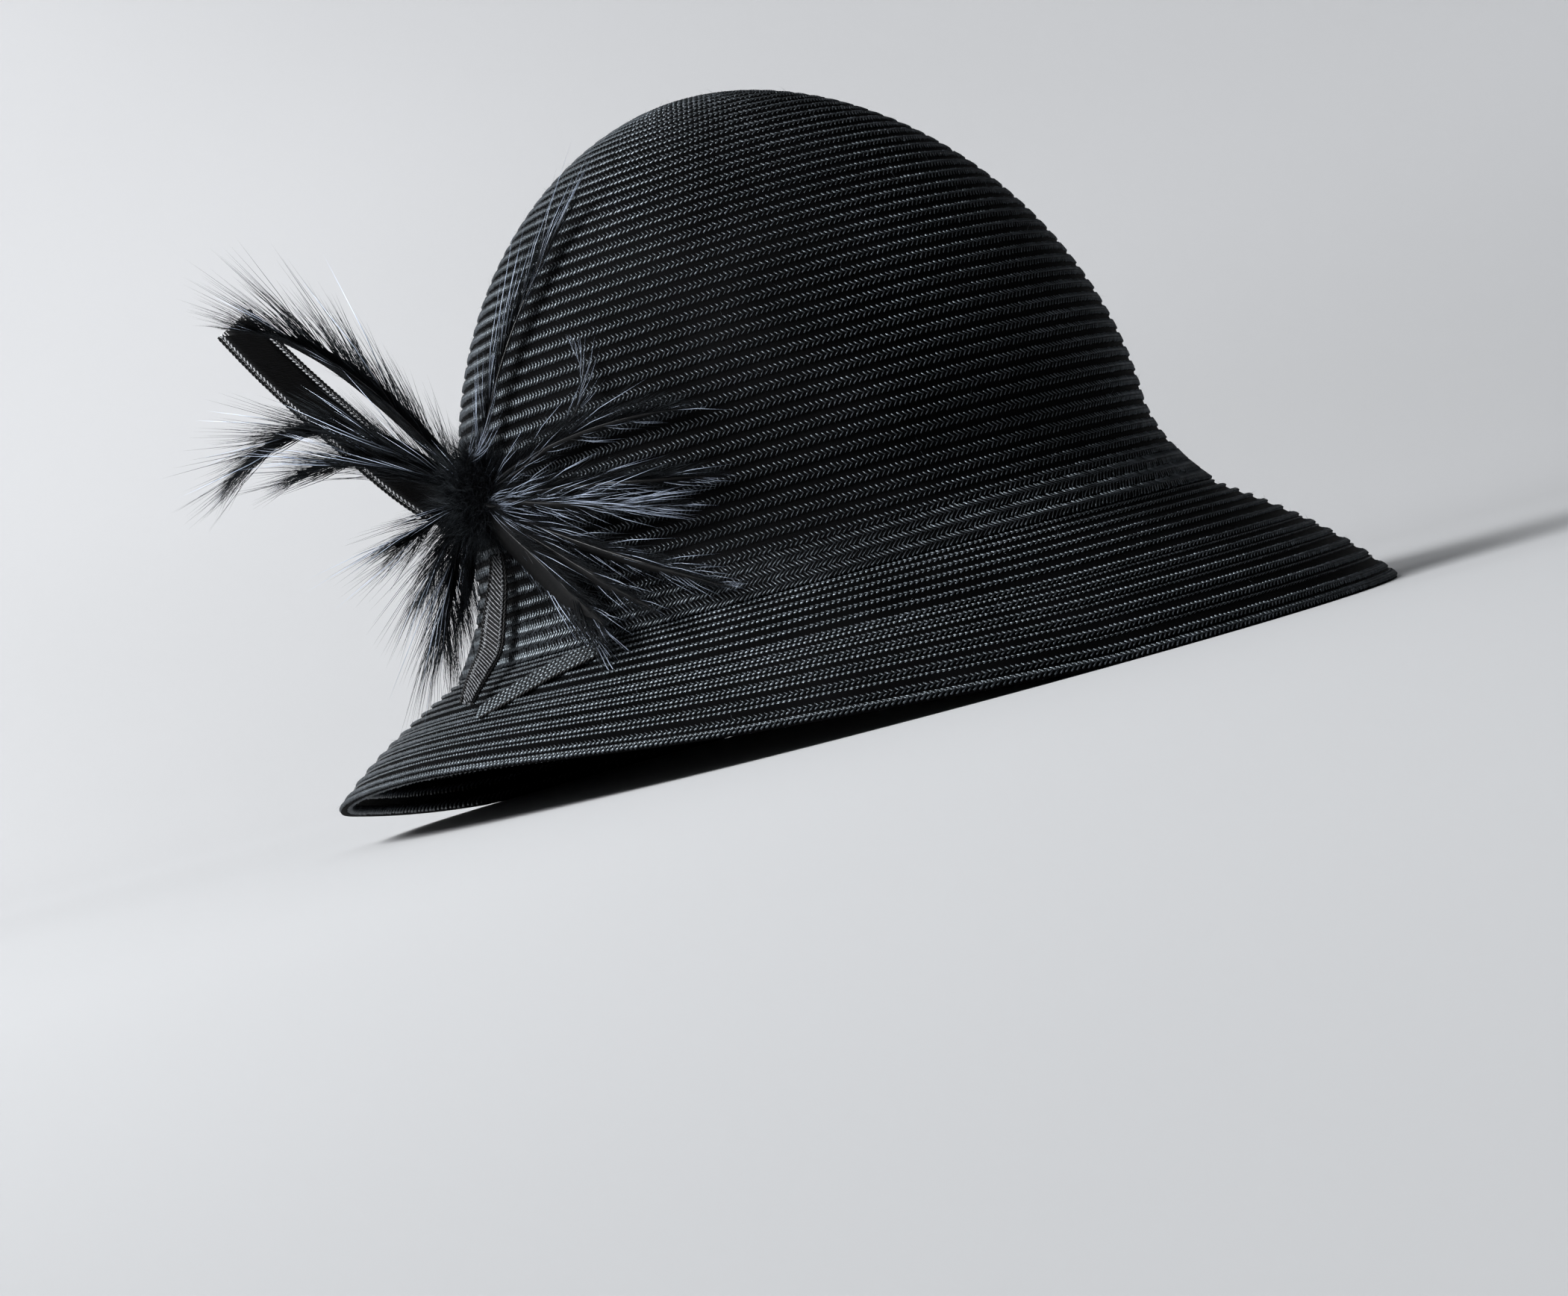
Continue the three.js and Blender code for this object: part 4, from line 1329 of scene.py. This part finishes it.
class STRAW_HAT_OT_feathers(bpy.types.Operator):
    """Makes the spray of feathers and the bound knot that holds it"""

    bl_idname = "straw_hat.feathers"
    bl_label = "Feathers"

    def execute(self, context):
        surface = hat_surface(context)
        trim = context.scene.straw_hat_trim
        colours = context.scene.straw_hat_colours
        barb_finish = shared("feather_barb", lambda: barb_material(colours))
        shaft_finish = shared("feather_shaft", lambda: shaft_material(colours))
        # The glint finish is a painted highlight.
        glint_finish = shared("feather_glint", lambda: painted_glint_material(colours))
        web_finish = shared("feather_web", lambda: web_material(colours))
        at = [row["at"] for row in VANE_SHAPE]
        width = [row["width"] for row in VANE_SHAPE]
        lines, webs = [], []
        values = {key: [] for key in ("facing", "part", "shaft", "shine", "reach_left", "reach_right")}
        for feather in FEATHERS:
            line, face, t = feather_path(surface, trim, feather)
            half = np.interp(t, at, width) * feather["width"] * MM / 2
            lines.append(line)
            values["facing"].append(face)
            values["part"].append(t)
            values["shaft"].append(trim.shaft_radius * (1.0 - SHAFT_TAPER * t))
            values["shine"].append(np.full(len(t), feather["shine"]))
            values["reach_left"].append(half * feather["left"])
            values["reach_right"].append(half * feather["right"])
            webs.append(vane_web(line, face, half * feather["web"], trim))
        barb = barb_shape("barb_pattern", BARB_THICK)
        hair = barb_shape("hair_pattern", HAIR_THICK)
        spray = line_object("feather_spray_vanes", lines, False, **values)
        grown(spray, feather_tree(), barb=barb, hair=hair, spacing=trim.barb_spacing,
              hair_spacing=trim.hair_spacing, glint_spacing=trim.glint_spacing, seed=5,
              barb_finish=barb_finish, shaft_finish=shaft_finish, glint_finish=glint_finish)
        place_piece(spray, "feather_spray")
        core = new_piece("feather_spray_webs", *joined(webs), material=web_finish)
        place_piece(core, "feather_spray")
        knot = new_piece("feather_knot", *knot_mesh(surface, trim))
        grown(knot, down_tree(), barb=barb, density=DOWN_DENSITY, reach=trim.down_reach, seed=17,
              barb_finish=barb_finish, core_finish=web_finish)
        place_piece(knot, "feather_spray")
        forget(barb)
        forget(hair)
        return {"FINISHED"}


# Strips
STRIP_POINTS = 160
# How often a strip's line is eased, which rounds its bend where the crown meets the brim
STRIP_EASE = 240
# Each ply's radius against its cord's, and the steps in one twist
PLY_SHARE = 0.54
TWIST_STEPS = 8
# Threads of the web: points on a slanted one and its slant, points on a straight one,
# how far the straight ones spread, how thick they are against the slanted ones and how many there are
THREAD_POINTS = 6
THREAD_SLANT = 0.7
RUN_POINTS = 40
RUN_SPREAD = 0.85
RUN_THICK = 1.3
WEB_RUNS = 11
# How far the leaf's pale threads stand out, in thread radii
PALE_LIFT = 3.0
# Plaited rows on the band: their places across it, how far out and how wide against the band
BAND_LINES = (-0.74, -0.36, 0.02, 0.40, 0.78)
BAND_LIFT = 0.45 * MM
BAND_WIDE = 0.15


def smooth_path(places, count):
    """A smooth curve through a few places, drawn evenly enough for a strip."""
    places = np.asarray(places, float)
    ends = np.vstack([2 * places[0] - places[1], places, 2 * places[-1] - places[-2]])
    knots = np.concatenate([[0.0], np.cumsum(np.linalg.norm(np.diff(ends, axis=0), axis=1) ** 0.5)])

    def between(first, second, start, end, t):
        return (first * (end - t) + second * (t - start)) / (end - start)

    made = []
    for u in np.linspace(0.0, len(places) - 1.0, count):
        k = min(int(u), len(places) - 2)
        at = knots[k:k + 4]
        t = at[1] + (at[2] - at[1]) * (u - k)
        lines = [between(ends[k + i], ends[k + i + 1], at[i], at[i + 1], t) for i in range(3)]
        bends = [between(lines[i], lines[i + 1], at[i], at[i + 2], t) for i in range(2)]
        made.append(between(bends[0], bends[1], at[1], at[2], t))
    return np.array(made)


def eased(line, rounds):
    """A line with its sharp bends eased and its ends kept."""
    line = np.array(line, float)
    for _ in range(rounds):
        line[1:-1] = (line[:-2] + 2.0 * line[1:-1] + line[2:]) / 4.0
    return line


def strip_frame(surface, strip):
    """A strip's centre line with its across and facing directions and its half width."""
    places = smooth_path(strip["path"], STRIP_POINTS) * np.array([1.0, MM, MM])
    line = eased(surface.over(places), STRIP_EASE)
    ahead = unit(np.gradient(line, axis=0))
    across = unit(np.cross(surface.facing(places, strip["face"]), ahead))
    out = np.cross(ahead, across)
    t = np.linspace(0.0, 1.0, STRIP_POINTS)
    half = strip["width"] * MM / 2 * (1.0 - strip["point"] * (2.0 * t - 1.0) ** 2)
    return line, across, out, half


def strip_cords(line, across, out, half, inset, radius, lay):
    """Two plies twisted into a cord along each edge, a little way in from it."""
    run = np.concatenate([[0.0], np.cumsum(np.linalg.norm(np.diff(line, axis=0), axis=1))])
    fine = np.linspace(0.0, run[-1], int(run[-1] / (lay / TWIST_STEPS)))

    def along(values):
        return np.stack([np.interp(fine, run, values[:, k]) for k in range(3)], -1)

    middle, sideways, facing = along(line), along(across), along(out)
    edge = np.interp(fine, run, half) - inset
    ply = radius * PLY_SHARE
    swing = radius - ply
    parts = []
    for side in (1.0, -1.0):
        for start in (0.0, math.pi):
            angle = start + side * 2.0 * math.pi * fine / lay
            path = (middle + sideways * (side * edge + swing * np.cos(angle))[:, None]
                    + facing * (swing * np.sin(angle))[:, None])
            parts.append(tube(path, ply, 6))
    return parts


def strip_web(line, across, out, half, trim, spacing, lift, runs):
    """Slanted threads on both faces of a strip, and some that run its length between them."""
    run = np.concatenate([[0.0], np.cumsum(np.linalg.norm(np.diff(line, axis=0), axis=1))])
    total = run[-1]
    parts = []

    def place(distance, share, rise):
        point = np.stack([np.interp(distance, run, line[:, k]) for k in range(3)], -1)
        side = np.stack([np.interp(distance, run, across[:, k]) for k in range(3)], -1)
        face = np.stack([np.interp(distance, run, out[:, k]) for k in range(3)], -1)
        wide = np.interp(distance, run, half) - trim.cord_radius * 2
        return point + side * (wide * share)[:, None] + face * rise

    share = np.linspace(-1.0, 1.0, THREAD_POINTS)
    wide = float(half.max())
    for slant in (1.0, -1.0):
        for start in np.arange(-wide, total + wide, spacing):
            distance = start + slant * share * wide * THREAD_SLANT
            inside = (distance >= 0.0) & (distance <= total)
            if inside.sum() >= 3:
                path = place(distance[inside], share[inside], slant * lift)
                parts.append(tube(path, trim.thread_radius, 4))
    for across_at in np.linspace(-RUN_SPREAD, RUN_SPREAD, runs):
        distance = np.linspace(0.0, total, RUN_POINTS)
        path = place(distance, np.full(RUN_POINTS, across_at), 0.0)
        parts.append(tube(path, trim.thread_radius * RUN_THICK, 4))
    return parts


class STRAW_HAT_OT_strips(bpy.types.Operator):
    """Makes the sheer strips of braid with their corded edges"""

    bl_idname = "straw_hat.strips"
    bl_label = "Strips"

    def execute(self, context):
        surface = hat_surface(context)
        trim = context.scene.straw_hat_trim
        colours = context.scene.straw_hat_colours
        cord = thread_material("strip_cord", colours.ground, colours.thread, 0.45, 0.3)
        # The chain's pale colour is a painted highlight of the glossy twisted edge cords.
        chain = thread_material("strip_chain", colours.cord, colours.chain, 0.25)
        dark = thread_material("strip_thread", colours.ground, colours.thread, 0.5, 0.25)
        pale = thread_material("strip_thread_pale", colours.thread, colours.thread_pale, 0.4)
        for strip in STRIPS:
            line, across, out, half = strip_frame(surface, strip)
            name = strip["name"]
            edge = trim.cord_radius
            chain_in = trim.cord_radius * 2 + trim.chain_radius
            pieces = {
                "_cords": (strip_cords(line, across, out, half, edge, edge, trim.cord_lay), cord),
                "_web": (strip_web(line, across, out, half, trim, trim.thread_spacing,
                                   trim.thread_radius, WEB_RUNS), dark),
            }
            if name != "braid_band":
                dots = strip_cords(line, across, out, half, chain_in, trim.chain_radius, trim.cord_lay)
                # The tail's chain takes the painted highlight colour; the leaf's takes its pale thread
                # colour.
                pieces["_chain"] = (dots, pale if name == "braid_leaf" else chain)
            if name == "braid_leaf":
                threads = strip_web(line, across, out, half, trim, trim.pale_spacing,
                                    trim.thread_radius * PALE_LIFT, 0)
                pieces["_pale_threads"] = (threads, pale)
            for ending, (parts, finish) in pieces.items():
                piece = new_piece(name + ending, *joined(parts), material=finish)
                place_piece(piece, name)
        self.plait_band(context, surface)
        return {"FINISHED"}

    def plait_band(self, context, surface):
        """Plaited rows along the band that lies on the brim."""
        plait = context.scene.straw_hat_plait
        colours = context.scene.straw_hat_colours
        strand = shared("straw_strand", lambda: strand_material(colours))
        strip = next(row for row in STRIPS if row["name"] == "braid_band")
        line, across, out, half = strip_frame(surface, strip)
        lines, facing, scale = [], [], []
        for share in BAND_LINES:
            lines.append(line + across * (half * share)[:, None] + out * BAND_LIFT)
            facing.append(out)
            scale.append(half * BAND_WIDE / plait.chevron_half)
        pattern = chevron_shape(plait, plait.chevron_half, plait.strand_width, *BRIM_DROPS)
        piece = line_object("braid_band_plait", lines, False, facing=facing, row_scale=scale)
        grown(piece, plait_tree(), chevron=pattern, spacing=plait.spacing, sway=plait.sway, seed=41,
              straw=strand)
        place_piece(piece, "braid_band")
        forget(pattern)


# Stage
# Soft lights: which power each takes, its size in metres, where it stands from the camera's direction
# and how high, in degrees, how far off, how wide it spreads, its tint, and how far behind the hat,
# to the picture's left and above the target it aims
LIGHTS = (
    {"name": "key", "power": "key_power", "size": 0.85, "turn": -62.0, "rise": 36.0, "distance": 1.7,
     "spread": 180.0, "tint": (0.97, 0.985, 1.0), "behind": 0.0, "left": 0.0, "above": 0.0},
    {"name": "fill", "power": "fill_power", "size": 1.4, "turn": 55.0, "rise": 25.0, "distance": 1.9,
     "spread": 180.0, "tint": (1.0, 0.985, 0.96), "behind": 0.0, "left": 0.0, "above": 0.0},
    {"name": "wash", "power": "wash_power", "size": 1.3, "turn": -42.0, "rise": 32.0, "distance": 1.8,
     "spread": 135.0, "tint": (0.98, 0.985, 1.0), "behind": 2.0, "left": 0.55, "above": 0.25},
)
LIGHT_TARGET = (0.0, 0.0, 0.08)
# The sky: its tint, where its bright side is from the camera's direction and how high, and where it fades
SKY_TINT = (0.94, 0.97, 1.0, 1.0)
SKY_TURN = -75.0
SKY_LEVEL = 0.94
SKY_RISE = 0.34
SKY_FADE = (-0.35, 0.85)
# The floor: its sides, its rings, where it starts to curve up, the size of the curve and the wall's height
FLOOR_SIDES = 96
FLOOR_RINGS = (0.25, 0.5)
FLOOR_FLAT = 0.7
FLOOR_SWEEP = 1.6
FLOOR_TOP = 2.4
WALL_LEAN = 0.02
SWEEP_STEPS = 17
# From where to where round the hat the wall rises, as the cosine from straight behind
WALL_START = -0.1
WALL_SPAN = 0.6
SENSOR_WIDTH = 36.0


def soft_light(name, power, size, azimuth, elevation, distance, target, tint):
    """A large soft light that looks at the hat."""
    light = bpy.data.lights.new(name, "AREA")
    light.shape = "DISK"
    light.size = size
    light.energy = power
    light.color = tint
    holder = bpy.data.objects.new(name, light)
    back = Vector((math.sin(azimuth) * math.cos(elevation), -math.cos(azimuth) * math.cos(elevation),
                   math.sin(elevation)))
    holder.location = Vector(target) + back * distance
    holder.rotation_euler = (-back).to_track_quat("-Z", "Y").to_euler()
    bpy.context.scene.collection.objects.link(holder)
    return holder


class STRAW_HAT_OT_stage(bpy.types.Operator):
    """Makes the floor, the light and the camera"""

    bl_idname = "straw_hat.stage"
    bl_label = "Stage"

    def execute(self, context):
        scene = context.scene
        stage = scene.straw_hat_stage
        colours = scene.straw_hat_colours
        scene.view_settings.view_transform = "Standard"
        self.floor(stage, colours)
        self.light(scene, stage)
        self.camera(scene, stage)
        return {"FINISHED"}

    def floor(self, stage, colours):
        """A round floor that sweeps up into a wall behind the hat and stays flat on the camera's side."""
        sides = FLOOR_SIDES
        angle = np.arange(sides) * 2.0 * math.pi / sides
        direction = np.stack([np.cos(angle), np.sin(angle)], -1)
        behind = direction @ np.array([-math.sin(stage.azimuth), math.cos(stage.azimuth)])
        rise = np.clip((behind - WALL_START) / WALL_SPAN, 0.0, 1.0)
        rise = rise ** 2 * (3.0 - 2.0 * rise)
        profile = [(radius, 0.0) for radius in FLOOR_RINGS + (FLOOR_FLAT,)]
        profile += [(FLOOR_FLAT + FLOOR_SWEEP * math.sin(turn), FLOOR_SWEEP * (1.0 - math.cos(turn)))
                    for turn in np.linspace(0.0, math.pi / 2, SWEEP_STEPS)[1:]]
        profile.append((FLOOR_FLAT + FLOOR_SWEEP + WALL_LEAN, FLOOR_TOP))
        points = [[0.0, 0.0, 0.0]]
        for radius, height in profile:
            ring = np.column_stack([direction * radius, rise * height])
            points += ring.tolist()
        faces = [[0, 1 + i, 1 + (i + 1) % sides] for i in range(sides)]
        for k in range(len(profile) - 1):
            a = 1 + sides * k
            faces += [[a + i, a + sides + i, a + sides + (i + 1) % sides, a + (i + 1) % sides]
                      for i in range(sides)]
        floor = new_piece("floor", points, faces, material=floor_material(colours))

    def light(self, scene, stage):
        """Soft light from the picture's left, hardly any from its right, and a wash on the wall."""
        behind = Vector((-math.sin(stage.azimuth), math.cos(stage.azimuth), 0.0))
        left = Vector((-math.cos(stage.azimuth), -math.sin(stage.azimuth), 0.0))
        for lamp in LIGHTS:
            target = (Vector(LIGHT_TARGET) + behind * lamp["behind"] + left * lamp["left"]
                      + Vector((0.0, 0.0, lamp["above"])))
            made = soft_light(lamp["name"], getattr(stage, lamp["power"]), lamp["size"],
                              stage.azimuth + math.radians(lamp["turn"]), math.radians(lamp["rise"]),
                              lamp["distance"], target, lamp["tint"])
            made.data.spread = math.radians(lamp["spread"])
        self.sky(scene, stage)

    def sky(self, scene, stage):
        """Light from all round, bright on the picture's left and dark on its right."""
        world = bpy.data.worlds.new("side_sky")
        world.use_nodes = True
        nodes = world.node_tree.nodes
        links = world.node_tree.links
        sky = nodes["Background"]
        sky.inputs["Color"].default_value = SKY_TINT
        place = nodes.new("ShaderNodeTexCoord")
        side = nodes.new("ShaderNodeVectorMath")
        side.operation = "DOT_PRODUCT"
        angle = stage.azimuth + math.radians(SKY_TURN)
        side.inputs[1].default_value = (math.sin(angle) * SKY_LEVEL, -math.cos(angle) * SKY_LEVEL, SKY_RISE)
        spread = nodes.new("ShaderNodeMapRange")
        spread.interpolation_type = "SMOOTHSTEP"
        for key, value in (("From Min", SKY_FADE[0]), ("From Max", SKY_FADE[1]), ("To Min", stage.sky_dark),
                           ("To Max", stage.sky_bright)):
            spread.inputs[key].default_value = value
        links.new(place.outputs["Generated"], side.inputs[0])
        links.new(side.outputs["Value"], spread.inputs["Value"])
        links.new(spread.outputs["Result"], sky.inputs["Strength"])
        scene.world = world

    def camera(self, scene, stage):
        """A camera at the photograph's angle to the hat, just above the floor."""
        low, high = [Vector(corner) for corner in CAD_BOX]
        centre = (low + high) / 2
        rise = stage.camera_height - centre.z
        flat = math.sqrt(stage.distance ** 2 - rise ** 2)
        place = Vector((centre.x + math.sin(stage.azimuth) * flat, centre.y - math.cos(stage.azimuth) * flat,
                        stage.camera_height))
        lens = bpy.data.cameras.new("camera")
        lens.lens = stage.lens
        lens.sensor_width = SENSOR_WIDTH
        lens.clip_start = 0.01
        eye = bpy.data.objects.new("camera", lens)
        pixel = lens.sensor_width / PHOTO_WIDTH
        right = math.atan((stage.across - 0.5) * PHOTO_WIDTH * pixel / lens.lens)
        up = math.atan((0.5 - stage.down) * PHOTO_HEIGHT * pixel / lens.lens)
        aim = (centre - place).to_track_quat("-Z", "Y")
        roll = Euler((0.0, 0.0, -stage.roll)).to_quaternion()
        turn = Euler((-up, right, 0.0)).to_quaternion()
        eye.location = place
        eye.rotation_euler = (aim @ roll @ turn).to_euler()
        scene.collection.objects.link(eye)
        scene.camera = eye


class STRAW_HAT_PT_panel(bpy.types.Panel):
    """Sizes, colours and steps of the straw hat"""

    bl_label = "Straw Hat"
    bl_idname = "STRAW_HAT_PT_panel"
    bl_space_type = "VIEW_3D"
    bl_region_type = "UI"
    bl_category = "Straw Hat"

    def draw(self, context):
        for operator in OPERATORS:
            self.layout.operator(operator.bl_idname)
        for name, group in GROUPS.items():
            box = self.layout.box()
            box.label(text=name.replace("straw_hat_", "").title())
            for key in group.__annotations__:
                box.prop(getattr(context.scene, name), key)


OPERATORS = (STRAW_HAT_OT_stage, STRAW_HAT_OT_crown, STRAW_HAT_OT_brim, STRAW_HAT_OT_feathers,
             STRAW_HAT_OT_strips)
CLASSES = tuple(GROUPS.values()) + OPERATORS + (STRAW_HAT_PT_panel,)


def register():
    for item in CLASSES:
        bpy.utils.register_class(item)
    for name, group in GROUPS.items():
        setattr(bpy.types.Scene, name, PointerProperty(type=group))


def unregister():
    for name in GROUPS:
        delattr(bpy.types.Scene, name)
    for item in reversed(CLASSES):
        bpy.utils.unregister_class(item)


def main():
    register()
    bpy.ops.straw_hat.stage()
    bpy.ops.straw_hat.crown()
    bpy.ops.straw_hat.brim()
    bpy.ops.straw_hat.feathers()
    bpy.ops.straw_hat.strips()


if __name__ == "__main__":
    main()
